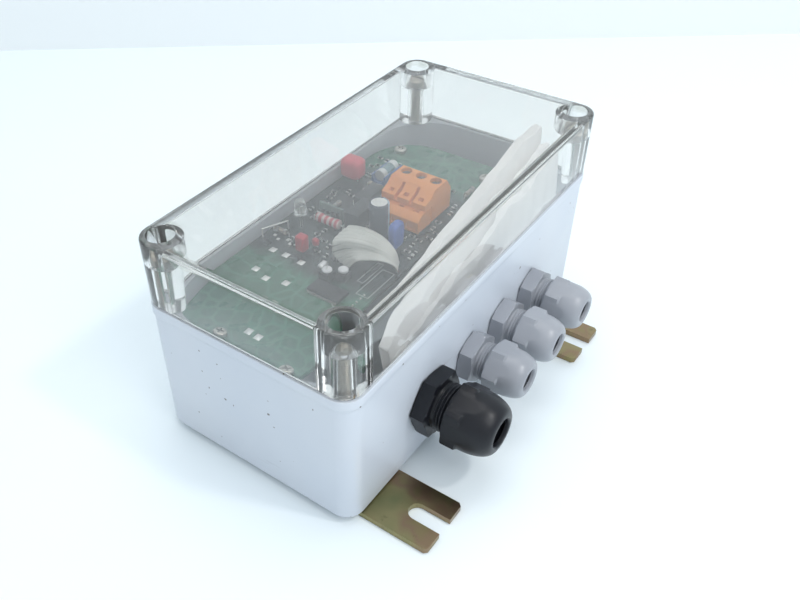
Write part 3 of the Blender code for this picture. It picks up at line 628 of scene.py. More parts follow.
def spin_ring(profile, turn, steps=96):
    """A closed profile spun into a ring, with a column of points on each hex corner."""
    bm = bmesh.new()
    angle = math.radians(turn)
    verts = [bm.verts.new((r * math.cos(angle), r * math.sin(angle), z)) for r, z in profile]
    edges = [bm.edges.new(pair) for pair in zip(verts, verts[1:] + verts[:1])]
    bmesh.ops.spin(bm, geom=verts + edges, cent=(0, 0, 0), axis=(0, 0, 1),
                   angle=2 * math.pi, steps=steps, use_merge=True)
    bmesh.ops.remove_doubles(bm, verts=bm.verts, dist=0.000001)
    bmesh.ops.recalc_face_normals(bm, faces=bm.faces)
    return bm


for name in GLAND_NAMES:
    g = GLANDS["black" if name == "black_gland" else "grey"]
    nylon = black_nylon if name == "black_gland" else grey_nylon
    corner = g["flat"] / math.cos(math.pi / 6)
    neck = g["shoulder"] + 0.0010
    profile = [(g["thread"], neck)]
    profile += thread(g["thread"], g["nut"] + 0.001, g["flange"] + 0.0004, 0.0013, 0.0006)
    profile += [(g["thread"] - 0.0004, g["flange"]), (g["flat"] + 0.0002, g["flange"])]
    profile += [(corner * 0.985, g["flange"] - 0.0004), (corner, g["flange"] - 0.0007),
                (corner, 0.0011), (corner * 0.985, 0.0006), (g["flat"] + 0.0002, 0.0003),
                (g["thread"], 0.0003)]
    profile += thread(g["thread"], -0.0004, -g["inside"] + 0.0006, 0.0013, 0.0005)
    profile += [(g["thread"] - 0.0005, -g["inside"]), (g["bore"], -g["inside"]),
                (g["bore"], g["shoulder"] - 0.0060), (g["thread"] - 0.0016, g["shoulder"] - 0.0060),
                (g["thread"] - 0.0016, neck)]
    bm = flats(spin_ring(profile, g["turn"]), g["flat"], g["turn"], 0.0003, g["flange"])
    show(f"{name}_neck", on_wall(bm, name), nylon, BODY, [f"{name}_body"], crease=24)

    tip = g["mouth"] + 0.0014
    rise = g["reach"] - g["shoulder"]
    dome = [(tip + (g["dome"] - tip) * math.sin(a) ** 0.92,
             g["shoulder"] + rise * math.cos(a)) for a in (
                 math.radians(step) for step in (6, 14, 22, 30, 38, 46, 54, 61, 68, 74, 80, 85, 90))]
    profile = [(g["mouth"] + 0.0002, g["reach"] - 0.0006), (g["mouth"] + 0.0005, g["reach"] - 0.0002),
               (g["mouth"] + 0.0010, g["reach"])] + dome
    profile += [(corner, g["shoulder"] - 0.0007), (corner, g["nut"] + 0.0009),
                (corner * 0.98, g["nut"] + 0.0004), (g["flat"], g["nut"]),
                (g["thread"] + 0.0003, g["nut"]), (g["thread"] + 0.0003, neck + 0.0003),
                (g["mouth"] + 0.0008, g["reach"] - 0.0022), (g["mouth"], g["reach"] - 0.0016)]
    turn = NUT_TURN[name]
    bm = flats(spin_ring(profile, turn), g["flat"], turn, g["nut"], g["reach"])
    show(f"{name}_nut", on_wall(bm, name), nylon, f"{name}_dome_nut", [f"{name}_dome_nut"],
         crease=24)

    lip = g["thread"] - 0.0019
    core = g["mouth"] - 0.0010
    bottom = g["shoulder"] - 0.0057
    profile = [(lip, neck - 0.0003), (lip, bottom), (lip - 0.0016, bottom),
               (core + 0.0006, bottom + 0.002), (core, neck - 0.0018), (core + 0.0004, neck - 0.0003)]
    show(f"{name}_insert", on_wall(spin_ring(profile, 0, 48), name), insert_rubber, BODY,
         [f"{name}_seal"])

    over = g["lock"] / math.cos(math.pi / 6)
    inner, outer = -0.0033, -0.0033 - g["lock_long"]
    profile = [(g["thread"] + 0.0003, inner), (g["lock"], inner), (over, inner - 0.0008),
               (over, outer + 0.0008), (g["lock"], outer), (g["thread"] + 0.0003, outer)]
    bm = flats(spin_ring(profile, 0, 72), g["lock"], 0, outer, inner)
    show(f"{name}_back_nut", on_wall(bm, name), nylon, BODY, [f"{name}_lock_nut"], crease=24)

# Circuit board: green glass-fibre board with tinned joints, tracks and printed outlines. It
# rests on the four pillars of the base and is held there by a screw in each.
BOARD_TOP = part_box("circuit_board")[1].z


def limits(node):
    """The x, y and z limits of a CAD node."""
    low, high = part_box(node)
    return tuple(zip(low, high))


def on_board(x, y, rise=0.0):
    """A point above the board; x and y are measured from the middle of the box."""
    return Vector((x, MID_Y + y, BOARD_TOP + rise))


def bar(bm, start, end, radius, sides=10):
    """A round rod between two points added to a bmesh."""
    run = end - start
    made = bmesh.ops.create_cone(bm, cap_ends=True, segments=sides, radius1=radius,
                                 radius2=radius, depth=run.length)
    bmesh.ops.transform(bm, verts=made["verts"], matrix=(
        Matrix.Translation((start + end) / 2) @ run.to_track_quat('Z', 'Y').to_matrix().to_4x4()))


def joint(bm, x, y, radius, height=0.0004):
    """A low mound of solder on a square pad."""
    made = bmesh.ops.create_cone(bm, cap_ends=True, segments=4, radius1=radius,
                                 radius2=radius * 0.6, depth=height)
    bmesh.ops.rotate(bm, verts=made["verts"], cent=(0, 0, 0),
                     matrix=Matrix.Rotation(math.pi / 4, 3, 'Z'))
    bmesh.ops.translate(bm, verts=made["verts"], vec=on_board(x, y, height / 2))


lacquer = Paint("board lacquer", (0.03, 0.14, 0.09), Roughness=0.3)
across = lacquer.node("ShaderNodeSeparateXYZ", {}, {"Vector": lacquer.place}, "X")
uneven = lacquer.noise(70.0, 3.0) * 0.016
# Painted shade: across its middle stretch the board is painted a dark blue-grey, where the tall parts
# shade it; the tracks still show in it.
shaded_middle = (lacquer.band(across + uneven, -0.034, -0.024)
           * lacquer.band(0.056 - across - uneven, 0.0, 0.012))
track = lacquer.band(lacquer.cells(150.0, 'DISTANCE_TO_EDGE'), 0.05, 0.075)
lacquer.feed(Base_Color=lacquer.blend(shaded_middle, lacquer.blend(
    track, (0.05, 0.20, 0.13), (0.026, 0.135, 0.085)), lacquer.blend(
        track, (0.030, 0.050, 0.052), (0.014, 0.022, 0.028))))
lacquer.feed(Roughness=lacquer.noise(160.0, 2.0) * 0.2 + 0.2)
lacquer.bump(track, 0.35, 0.00004)
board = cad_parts["circuit_board"]
board.data.materials.clear()
board.data.materials.append(lacquer.material)

tin = satin("bright solder", (0.78, 0.79, 0.78), (0.62, 0.64, 0.64), 0.38, 2600.0, 0.2,
            Metallic=0.55)
bm = bmesh.new()
for x, y in ((-0.0469, 0.0296), (-0.0493, 0.0226), (-0.0472, 0.0142), (-0.0337, 0.0176),
             (-0.0333, 0.0256), (-0.0334, 0.0322), (-0.0666, 0.0120), (-0.0672, 0.0071)):
    joint(bm, x, y, 0.0020)
for x, y in ((-0.0252, 0.0380), (-0.0267, 0.0352), (-0.0249, 0.0314), (-0.0266, 0.0290)):
    joint(bm, x, y, 0.0010)
for number in range(9):
    joint(bm, -0.0560 + 0.0025 * number, -0.0145, 0.0006)
bar(bm, on_board(-0.0292, 0.0412, 0.0040), on_board(-0.0188, 0.0361, 0.0042), 0.0003)
bar(bm, on_board(-0.0292, 0.0412, 0.0001), on_board(-0.0292, 0.0412, 0.0041), 0.0003)
bar(bm, on_board(-0.0188, 0.0361, 0.0001), on_board(-0.0188, 0.0361, 0.0043), 0.0003)
show("solder_joints", bm, tin, BODY, crease=60)

ink = Paint("printing ink", (0.62, 0.68, 0.68), Roughness=0.6)
ink.feed(Base_Color=ink.blend(ink.noise(900.0), (0.55, 0.62, 0.62), (0.72, 0.76, 0.75)))


def drawn(bm, x, y, line=0.00022):
    """A rectangle printed in thin lines on the board."""
    for left, right, front, back in (
            (x[0], x[1], y[0], y[0] + line), (x[0], x[1], y[1] - line, y[1]),
            (x[0], x[0] + line, y[0], y[1]), (x[1] - line, x[1], y[0], y[1])):
        slab(bm, (left, right), (MID_Y + front, MID_Y + back),
             (BOARD_TOP + 0.00002, BOARD_TOP + 0.00006))


bm = bmesh.new()
drawn(bm, (-0.0305, -0.0165), (-0.0100, -0.0072))
drawn(bm, (-0.0370, -0.0190), (-0.0168, -0.0112))
bar(bm, on_board(-0.0420, -0.0016, 0.00006), on_board(-0.0482, -0.0090, 0.00006), 0.00025, 6)
show("board_printing", bm, ink, BODY)

# Small parts: chip resistors and capacitors soldered flat, and axial resistors on bent leads,
# crowded between the large parts.
LARGE = ("red_capacitor", "small_red_capacitor", "tantalum_capacitor", "varistor", "relay",
         "electrolytic_capacitor", "indicator_lamp", "driver_chip", "microcontroller",
         "receiver_module", "crystal_can", "choke", "learn_button_body", "range_trimmer_body",
         "ribbon_jumper", "fuse_holder", "terminal_header", "terminal_plug", "board_screw_1",
         "board_screw_2", "board_screw_3", "board_screw_4")
PLUG_SLIDE = 0.0095
taken = [limits(node)[:2] for node in LARGE]
taken.append(((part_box("terminal_plug")[0].x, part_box("terminal_plug")[1].x + PLUG_SLIDE),
              limits("terminal_plug")[1]))
scatter = random.Random(11)


def room(x, y, spare):
    """Whether a small part centred here clears everything placed so far."""
    y += MID_Y
    return not any(left - spare[0] < x < right + spare[0] and front - spare[1] < y < back + spare[1]
                   for (left, right), (front, back) in taken)


chips, ends, beads = bmesh.new(), bmesh.new(), bmesh.new()
CROWD_X, CROWD_Y = (-0.026, 0.050), (-0.0165, 0.0375)
TRIES = 340
APART = 0.0005
CHIP_HALF, CHIP_TOP = (0.0011, 0.0007), 0.0007
AXIAL_HALF = (0.0042, 0.0011)
BEAD_HALF, BEAD_END = 0.0030, 0.0012
LEAD_HALF, LEAD = 0.0041, 0.00025
for number in range(TRIES):
    x = scatter.uniform(*CROWD_X)
    y = scatter.uniform(*CROWD_Y)
    along_x = scatter.random() < 0.5
    axial = number % 5 == 0
    half = AXIAL_HALF if axial else CHIP_HALF
    half = half if along_x else half[::-1]
    if not room(x, y, (half[0] + APART, half[1] + APART)):
        continue
    taken.append(((x - half[0], x + half[0]), (MID_Y + y - half[1], MID_Y + y + half[1])))
    run = Vector((1, 0, 0)) if along_x else Vector((0, 1, 0))
    heart = on_board(x, y, 0.0016 if axial else 0.00045)
    if axial:
        bar(beads, heart - run * 0.0028, heart + run * 0.0028, 0.0010, 16)
        bar(beads, heart - run * BEAD_HALF, heart - run * 0.0018, BEAD_END, 16)
        bar(beads, heart + run * 0.0018, heart + run * BEAD_HALF, BEAD_END, 16)
        bar(ends, heart - run * LEAD_HALF, heart + run * LEAD_HALF, LEAD, 8)
        for sign in (-1, 1):
            foot = heart + run * 0.0040 * sign
            bar(ends, Vector((foot.x, foot.y, BOARD_TOP)), foot, LEAD, 8)
    else:
        slab(chips, (x - half[0] * 0.7, x + half[0] * 0.7),
             (MID_Y + y - half[1] * 0.95, MID_Y + y + half[1] * 0.95),
             (BOARD_TOP + 0.0001, BOARD_TOP + CHIP_TOP), 0.0001, 1)
        for sign in (-1, 1):
            cap = heart + run * 0.00095 * sign
            cap_x, cap_y = (0.00035, 0.00065) if along_x else (0.00065, 0.00035)
            slab(ends, (cap.x - cap_x, cap.x + cap_x), (cap.y - cap_y, cap.y + cap_y),
                 (BOARD_TOP + 0.00005, BOARD_TOP + CHIP_TOP - 0.0001))
black_case = satin("black moulded case", (0.010, 0.012, 0.020), (0.020, 0.022, 0.032), 0.46,
                   1600.0, 0.12)
show("chip_parts", chips, black_case, BODY, crease=30)
show("tinned_leads", ends, tin, BODY, crease=40)
lacquered = Paint("resistor lacquer", (0.42, 0.36, 0.28), Roughness=0.35)
lacquered.feed(Base_Color=lacquered.node("ShaderNodeValToRGB", {"stops": (
    (0.30, (0.20, 0.24, 0.30)), (0.44, (0.45, 0.40, 0.33)), (0.54, (0.16, 0.13, 0.13)),
    (0.64, (0.40, 0.42, 0.42)))}, {"Fac": lacquered.noise(330.0, 1.0)}))
show("axial_resistors", beads, lacquered, BODY, crease=50)

# Relay and chips: black moulded epoxy cases with tinned legs bent down both long sides, each
# leg soldered flat to the board.
def legged(name, node, pitch, along_x=True, ease=0.0005):
    """A moulded case with a row of bent legs along each long side."""
    (x0, x1), (y0, y1), (z0, z1) = limits(node)
    inset = 0.0007
    bm = bmesh.new()
    if along_x:
        slab(bm, (x0, x1), (y0 + inset, y1 - inset), (z0 + 0.0003, z1), ease)
    else:
        slab(bm, (x0 + inset, x1 - inset), (y0, y1), (z0 + 0.0003, z1), ease)
    show(name, bm, black_case, BODY, [node], crease=30)
    legs = bmesh.new()
    start, stop = (x0, x1) if along_x else (y0, y1)
    count = int((stop - start - 0.001) / pitch)
    for number in range(count + 1):
        at = (start + stop) / 2 + (number - count / 2) * pitch
        for sign in (-1, 1):
            side_at = (y0 if sign < 0 else y1) if along_x else (x0 if sign < 0 else x1)
            out = (side_at, side_at - sign * inset * 1.4)
            thin = (at - pitch * 0.16, at + pitch * 0.16)
            rise = (BOARD_TOP + 0.0001, BOARD_TOP + min(0.0022, (z1 - z0) * 0.6))
            slab(legs, *((thin, sorted(out)) if along_x else (sorted(out), thin)), rise)
    show(f"{name}_legs", legs, tin, BODY, crease=40)


legged("relay_case", "relay", 0.0025, ease=0.0007)
legged("driver_case", "driver_chip", 0.0025)
legged("controller_case", "microcontroller", 0.0008, along_x=False, ease=0.0003)

# Capacitors, varistor, choke and lamp: parts dipped or moulded in coloured resin, or sleeved in
# shrunk plastic. Each stands on two tinned leads that are soldered through the board.
TINNED_LEG = 0.0003


def dipped(name, node, colour, second, ease, rounds=4, **constants):
    """A rounded case that stands on two tinned leads."""
    x, y, z = limits(node)
    bm = bmesh.new()
    slab(bm, x, y, z, ease, rounds)
    paint = satin(f"{name} case", colour, second, 0.36, 1400.0, 0.08, **constants)
    show(name, bm, paint, BODY, [node], crease=40)
    legs = bmesh.new()
    middle = sum(x) / 2
    for spot in (y[0] * 0.75 + y[1] * 0.25, y[0] * 0.25 + y[1] * 0.75):
        bar(legs, Vector((middle, spot, BOARD_TOP)), Vector((middle, spot, z[0] + 0.001)),
            TINNED_LEG, 8)
    show(f"{name}_leads", legs, tin, BODY, crease=40)


dipped("red_film_capacitor", "red_capacitor", (0.80, 0.10, 0.14), (0.72, 0.08, 0.12), 0.0024, 6)
dipped("small_film_capacitor", "small_red_capacitor", (0.58, 0.035, 0.06), (0.48, 0.03, 0.05),
       0.0009)
dipped("tantalum_bead", "tantalum_capacitor", (0.60, 0.06, 0.09), (0.45, 0.04, 0.06), 0.0011)
dipped("crystal", "crystal_can", (0.80, 0.80, 0.82), (0.68, 0.69, 0.72), 0.0011, Metallic=0.6)

(x0, x1), (y0, y1), (z0, z1) = limits("electrolytic_capacitor")
radius = (x1 - x0) / 2
middle = Vector(((x0 + x1) / 2, (y0 + y1) / 2, 0))
bm = turn_profile(bmesh.new(), [
    (radius - 0.0009, z1 - 0.0002), (radius - 0.0006, z1), (radius - 0.0002, z1 - 0.0003),
    (radius, z1 - 0.0009), (radius, z0 + 0.0026), (radius - 0.0005, z0 + 0.0020),
    (radius, z0 + 0.0013), (radius, z0), (0, z0), (0, z1 - 0.0022),
    (radius - 0.0009, z1 - 0.0022), (radius - 0.0009, z1 - 0.0002)], 64)
bmesh.ops.translate(bm, verts=bm.verts, vec=middle)
sleeve = Paint("capacitor sleeve", (0.05, 0.07, 0.11), Roughness=0.28)
from_axis = sleeve.node("ShaderNodeVectorMath", {"operation": 'DOT_PRODUCT'}, {
    0: sleeve.node("ShaderNodeMapping", {}, {"Vector": sleeve.place, "Location": -middle}),
    1: (0.82, -0.57, 0.0)}, "Value")
# Painted highlight: a pale blue band down one side of the dark sleeve stands in for its lit side.
lit_side = sleeve.band(from_axis, radius * 0.60, radius * 0.64)
sleeve.feed(Base_Color=sleeve.blend(lit_side, (0.045, 0.060, 0.095), (0.36, 0.50, 0.62)))
sleeve.feed(Roughness=sleeve.noise(200.0) * 0.1 + 0.22)
show("electrolytic_sleeve", bm, sleeve, BODY, ["electrolytic_capacitor"], crease=35)
bm = turn_profile(bmesh.new(), [(0, z1 - 0.0003), (radius - 0.0007, z1 - 0.0003),
                                (radius - 0.0007, z1 - 0.0018), (0, z1 - 0.0018)], 48)
grooves = [bmesh.new() for turn in range(3)]
for turn, tool in enumerate(grooves):
    slab(tool, (-radius * 0.6, radius * 0.6), (-0.00015, 0.00015), (z1 - 0.0006, z1))
    bmesh.ops.rotate(tool, verts=tool.verts, cent=(0, 0, 0),
                     matrix=Matrix.Rotation(turn * math.pi / 3, 3, 'Z'))
bm = carve(bm, *grooves)
bmesh.ops.translate(bm, verts=bm.verts, vec=middle)
can = satin("capacitor can", (0.90, 0.91, 0.90), (0.84, 0.85, 0.85), 0.5, 1500.0, 0.1)
show("electrolytic_top", bm, can, BODY)


def prism(points, y):
    """An outline in X and Z pulled from the first y limit to the second."""
    bm = bmesh.new()
    face = bm.faces.new([bm.verts.new((x, y[0], z)) for x, z in points])
    grown = bmesh.ops.extrude_face_region(bm, geom=[face])["geom"]
    bmesh.ops.translate(bm, vec=(0, y[1] - y[0], 0),
                        verts=[v for v in grown if isinstance(v, bmesh.types.BMVert)])
    bmesh.ops.recalc_face_normals(bm, faces=bm.faces)
    return bm


(x0, x1), (y0, y1), (z0, z1) = limits("varistor")
middle_x, middle_z = (x0 + x1) / 2, (z0 + 0.0011 + z1) / 2
half_x, half_z = (x1 - x0) / 2, (z1 - z0 - 0.0011) / 2
points = []
for step in range(40):
    angle = 2 * math.pi * step / 40
    across_x, up = math.cos(angle), math.sin(angle)
    points.append((middle_x + half_x * math.copysign(abs(across_x) ** 0.55, across_x),
                   middle_z + half_z * math.copysign(abs(up) ** 0.55, up)))
bm = prism(points, (y0, y1))
rims = [edge for edge in bm.edges if abs(edge.verts[0].co.y - edge.verts[1].co.y) < 1e-7]
bmesh.ops.bevel(bm, geom=rims, offset=0.0011, segments=5, profile=0.5, material=-1,
                affect='EDGES')
blue = satin("blue epoxy", (0.055, 0.13, 0.50), (0.04, 0.10, 0.42), 0.30, 700.0, 0.1)
show("blue_varistor", bm, blue, BODY, ["varistor"], crease=50)
bm = bmesh.new()
for spot in (middle_x - 0.0018, middle_x + 0.0018):
    bar(bm, Vector((spot, (y0 + y1) / 2, BOARD_TOP)),
        Vector((spot, (y0 + y1) / 2, z0 + 0.0020)), TINNED_LEG, 8)
show("varistor_leads", bm, tin, BODY, crease=40)

x, y, z = limits("choke")
radius = (x[1] - x[0]) / 2
length = y[1] - y[0]
bm = turn_profile(bmesh.new(), [
    (0, length), (radius * 0.6, length), (radius * 0.92, length - 0.0004),
    (radius, length - 0.0010), (radius, length - 0.0024), (radius * 0.88, length - 0.0030),
    (radius * 0.88, 0.0030), (radius, 0.0024), (radius, 0.0010), (radius * 0.92, 0.0004),
    (radius * 0.6, 0), (0, 0)], 40)
bmesh.ops.transform(bm, verts=bm.verts, matrix=(
    Matrix.Translation((sum(x) / 2, y[0], sum(z) / 2)) @ Matrix.Rotation(-math.pi / 2, 4, 'X')))
banded = Paint("banded lacquer", (0.6, 0.2, 0.2), Roughness=0.3)
winding = banded.node("ShaderNodeTexWave", {"bands_direction": 'Y'}, {
    "Vector": banded.place, "Scale": 118.0, "Distortion": 1.6, "Detail": 1.0,
    "Detail Scale": 1.0})
banded.feed(Base_Color=banded.blend(banded.band(winding, 0.36, 0.66), (0.55, 0.09, 0.12),
                                    (0.62, 0.50, 0.50)))
banded.feed(Roughness=banded.noise(300.0) * 0.1 + 0.25)
show("banded_choke", bm, banded, BODY, ["choke"], crease=45)
bm = bmesh.new()
for spot, sign in ((y[0], -1), (y[1], 1)):
    bar(bm, Vector((sum(x) / 2, spot, sum(z) / 2)),
        Vector((sum(x) / 2, spot + 0.0014 * sign, sum(z) / 2)), TINNED_LEG, 8)
    bar(bm, Vector((sum(x) / 2, spot + 0.0013 * sign, BOARD_TOP)),
        Vector((sum(x) / 2, spot + 0.0013 * sign, sum(z) / 2 + 0.0002)), TINNED_LEG, 8)
show("choke_leads", bm, tin, BODY, crease=40)

x, y, z = limits("indicator_lamp")
top = z[1]
bm = turn_profile(bmesh.new(), [
    (0, top), (0.0009, top - 0.0002), (0.0017, top - 0.0007), (0.0023, top - 0.0016),
    (0.0025, top - 0.0027), (0.0025, BOARD_TOP + 0.0078), (0.0029, BOARD_TOP + 0.0078),
    (0.0029, BOARD_TOP + 0.0068), (0, BOARD_TOP + 0.0068)], 40)
bmesh.ops.translate(bm, verts=bm.verts, vec=(sum(x) / 2, sum(y) / 2, 0))
resin = Paint("clear resin", (0.93, 0.95, 0.95), Roughness=0.04, IOR=1.5,
              Transmission_Weight=0.85)
resin.feed(Roughness=resin.noise(400.0) * 0.05 + 0.02)
show("lamp_lens", bm, resin, BODY, ["indicator_lamp"], crease=40)
bm = bmesh.new()
for spot, thick in ((-0.0006, 0.0003), (0.0006, 0.0005)):
    foot = Vector((sum(x) / 2 + spot, sum(y) / 2, BOARD_TOP))
    bar(bm, foot, foot + Vector((0, 0, 0.0066)), 0.00028, 8)
    bar(bm, foot + Vector((0, 0, 0.0070)), foot + Vector((0, 0, 0.0098)), thick, 10)
show("lamp_leads", bm, tin, BODY, crease=40)

# Receiver module: a small board of its own that stands on edge, with a few moulded parts on
# both faces, soldered along its lower edge.
x, y, z = limits("receiver_module")
bm = bmesh.new()
slab(bm, (x[0] + 0.0008, x[0] + 0.0018), y, z, 0.0001, 1)
module = satin("module lacquer", (0.16, 0.22, 0.21), (0.12, 0.18, 0.17), 0.35, 900.0, 0.1)
show("module_board", bm, module, BODY, ["receiver_module"], crease=40)
bm = bmesh.new()
for number in range(4):
    spot = y[0] + 0.0022 + number * 0.0025
    slab(bm, (x[0], x[0] + 0.0008), (spot - 0.0007, spot + 0.0007),
         (z[0] + 0.0026, z[0] + 0.0048 - 0.0004 * number), 0.0001, 1)
    slab(bm, (x[0] + 0.0018, x[1]), (spot - 0.0006, spot + 0.0009),
         (z[0] + 0.0018, z[0] + 0.0040 + 0.0003 * number), 0.0001, 1)
show("module_chips", bm, black_case, BODY, crease=30)

# Push button and range trimmer: small black moulded bodies with four rivets each. The button
# has a pale nylon cap that is pressed in, the trimmer a pale rotor with a driver slot.
pale = satin("pale nylon", (0.82, 0.83, 0.86), (0.74, 0.75, 0.79), 0.30, 1200.0, 0.08)
for name, node in (("button_body", "learn_button_body"), ("trimmer_body", "range_trimmer_body")):
    x, y, z = limits(node)
    bm = bmesh.new()
    slab(bm, x, y, z, 0.0003, 2)
    for sx in (-1, 1):
        for sy in (-1, 1):
            rod(bm, 0.00035, z[1] - 0.0001, z[1] + 0.0002,
                (sum(x) / 2 + sx * 0.0019, sum(y) / 2 + sy * 0.0019), 12)
    show(name, bm, black_case, BODY, [node], crease=30)
for name, node, body, slotted in (("button_cap", "learn_button_cap", "learn_button", False),
                                  ("trimmer_rotor", "range_trimmer_rotor", "range_trimmer", True)):
    x, y, z = limits(node)
    radius = (x[1] - x[0]) / 2
    bm = turn_profile(bmesh.new(), [
        (0, z[1]), (radius - 0.0005, z[1]), (radius - 0.0002, z[1] - 0.0001),
        (radius, z[1] - 0.0003), (radius, z[0]), (0, z[0])], 40)
    if slotted:
        tool = bmesh.new()
        slab(tool, (-0.0015, 0.0015), (-0.0003, 0.0003), (z[1] - 0.0004, z[1] + 0.001))
        bmesh.ops.rotate(tool, verts=tool.verts, cent=(0, 0, 0),
                         matrix=Matrix.Rotation(math.radians(25), 3, 'Z'))
        bm = carve(bm, tool)
    bmesh.ops.translate(bm, verts=bm.verts, vec=(sum(x) / 2, sum(y) / 2, 0))
    show(name, bm, pale, body, [node], crease=40)

# Screw terminal: a header soldered to the board and a plug that slides onto it, both moulded in
# orange; each pole has a screw well on top and a wire entry in front.
orange = Paint("orange moulding", (0.86, 0.33, 0.10), Roughness=0.42)
orange.feed(Base_Color=orange.blend(orange.band(orange.noise(60.0, 3.0), 0.3, 0.7),
                                    (0.95, 0.34, 0.06), (0.88, 0.28, 0.045)))
orange.feed(Roughness=orange.noise(200.0, 2.0) * 0.14 + 0.34)
orange.bump(orange.noise(1500.0), 0.06, 0.0001)
POLES = 3
(x0, x1), (y0, y1), (z0, z1) = limits("terminal_header")
pitch = (y1 - y0) / POLES
pole_y = [y0 + (number + 0.5) * pitch for number in range(POLES)]
bm = prism([(x0, z0), (x1, z0), (x1, z1), (x0 + 0.0030, z1), (x0, z1 - 0.0025)], (y0, y1))
WELL_RADIUS, WELL_DEPTH = 0.0024, 0.0045
ENTRY_HALF, ENTRY_DEPTH = 0.0022, 0.0070
PAST = 0.001
tools = []
for spot in pole_y:
    tool = bmesh.new()
    slab(tool, (x0 + 0.0036, x0 + 0.0048), (spot - 0.0012, spot + 0.0012), (z1 - 0.003, z1 + PAST))
    slab(tool, (x0 - PAST, x0 + 0.0008), (spot - 0.0024, spot + 0.0024),
         (z0 + 0.0012, z0 + 0.0036))
    tools.append(tool)
bm = carve(bm, *tools)
show("terminal_base", bm, orange, BODY, ["terminal_header"], ease=0.00025, crease=40)

(x0, x1), (y0, y1), (z0, z1) = limits("terminal_plug")
start = x0 + 0.0052
step_z = limits("terminal_header")[2][1] + 0.0003
bm = prism([(start, z0), (x1, z0), (x1, z1 - 0.0050), (x1 - 0.0035, z1), (start + 0.0020, z1),
            (start - 0.0010, z1 - 0.0025), (x0, step_z + 0.0026), (x0, step_z),
            (start, step_z)], (y0, y1))
tools = []
for number, spot in enumerate(pole_y, 1):
    well = bmesh.new()
    rod(well, WELL_RADIUS, z1 - WELL_DEPTH, z1 + PAST,
        (centre_of(f"terminal_screw_{number}")[0], spot), 32)
    tools.append(well)
    tool = bmesh.new()
    slab(tool, (x1 - ENTRY_DEPTH, x1 + PAST), (spot - ENTRY_HALF, spot + ENTRY_HALF),
         (BOARD_TOP + 0.0025, BOARD_TOP + 0.0070))
    slab(tool, (x0 + 0.0016, x0 + 0.0032), (spot - 0.0011, spot + 0.0011),
         (step_z + 0.0012, z1))
    tools.append(tool)
for spot in [(a + b) / 2 for a, b in zip(pole_y, pole_y[1:])]:
    tool = bmesh.new()
    slab(tool, (x0 - PAST, start + 0.0012), (spot - 0.0007, spot + 0.0007),
         (step_z + 0.0010, z1 + PAST))
    slab(tool, (x1 - 0.0004, x1 + PAST), (spot - 0.0004, spot + 0.0004), (z0 - PAST, z1))
    tools.append(tool)
bm = carve(bm, *tools)
show("terminal_plug_case", bm, orange, "terminal_plug", ["terminal_plug"], ease=0.00028,
     crease=40)
for number, turn in enumerate((15, 70, 120), 1):
    screw(f"clamp_screw_{number}", f"terminal_screw_{number}", f"terminal_screw_{number}",
          dull_zinc, 0.0042, 0.0012, 0.0030, 0.0008, turn, dome=0.0002)

# Ribbon jumper: grey flat cable of eleven cores, soldered at both ends, that rolls up off the
# board and bows over to its far end.
CORES = 11
near_edge = [Vector(p) for p in (
    (-25.5, -0.3, 0.1), (-24.9, -3.5, 4.2), (-23.6, -8.5, 6.0), (-21.5, -13.0, 6.0),
    (-18.7, -15.8, 3.4), (-17.5, -16.6, 0.1))]
far_edge = [Vector(p) for p in (
    (-12.7, 9.1, 8.4), (-12.5, 4.2, 9.6), (-12.5, -1.5, 10.0), (-12.5, -7.6, 8.6),
    (-12.5, -12.2, 5.0), (-12.5, -14.0, 0.1))]
first_end = [Vector(p) for p in (
    (-25.5, -0.3, 0.1), (-25.1, 4.5, 0.3), (-24.8, 8.0, 2.6), (-24.9, 8.3, 8.0),
    (-18.5, 9.3, 8.2), (-12.7, 9.1, 8.4))]


def along_line(points, share):
    """A point on the smooth curve through evenly spaced points."""
    place = share * (len(points) - 1)
    index = min(int(place), len(points) - 2)
    t = place - index
    before = points[max(index - 1, 0)]
    one, two = points[index], points[index + 1]
    after = points[min(index + 2, len(points) - 1)]
    return 0.5 * (2 * one + (two - before) * t + (2 * before - 5 * one + 4 * two - after) * t ** 2
                  + (3 * one - before - 3 * two + after) * t ** 3)


bm = bmesh.new()
bmesh.ops.create_grid(bm, x_segments=CORES * 8, y_segments=60, size=1.0)
own_uv = bm.loops.layers.uv.new("cable")
for vert in bm.verts:
    s, t = (vert.co.x + 1) / 2, (vert.co.y + 1) / 2
    near_point, far_point = along_line(near_edge, t), along_line(far_edge, t)
    start_point = along_line(first_end, s)
    end_point = near_edge[-1].lerp(far_edge[-1], s)
    corner_mix = near_edge[0].lerp(far_edge[0], s).lerp(near_edge[-1].lerp(far_edge[-1], s), t)
    point = near_point.lerp(far_point, s) + start_point.lerp(end_point, t) - corner_mix
    ridge = abs(math.sin(math.pi * CORES * s)) ** 0.5
    vert.co = on_board(point.x / 1000, point.y / 1000, max(point.z, 0.1) / 1000 + 0.0004 * ridge)
    for loop in vert.link_loops:
        loop[own_uv].uv = (s, t)
bmesh.ops.recalc_face_normals(bm, faces=bm.faces)
cable_grey = Paint("grey cable", (0.72, 0.73, 0.70), Roughness=0.42)
across_cable = cable_grey.node("ShaderNodeSeparateXYZ", {}, {"Vector": cable_grey.node(
    "ShaderNodeTexCoord", {}, {}, "UV")}, "X")
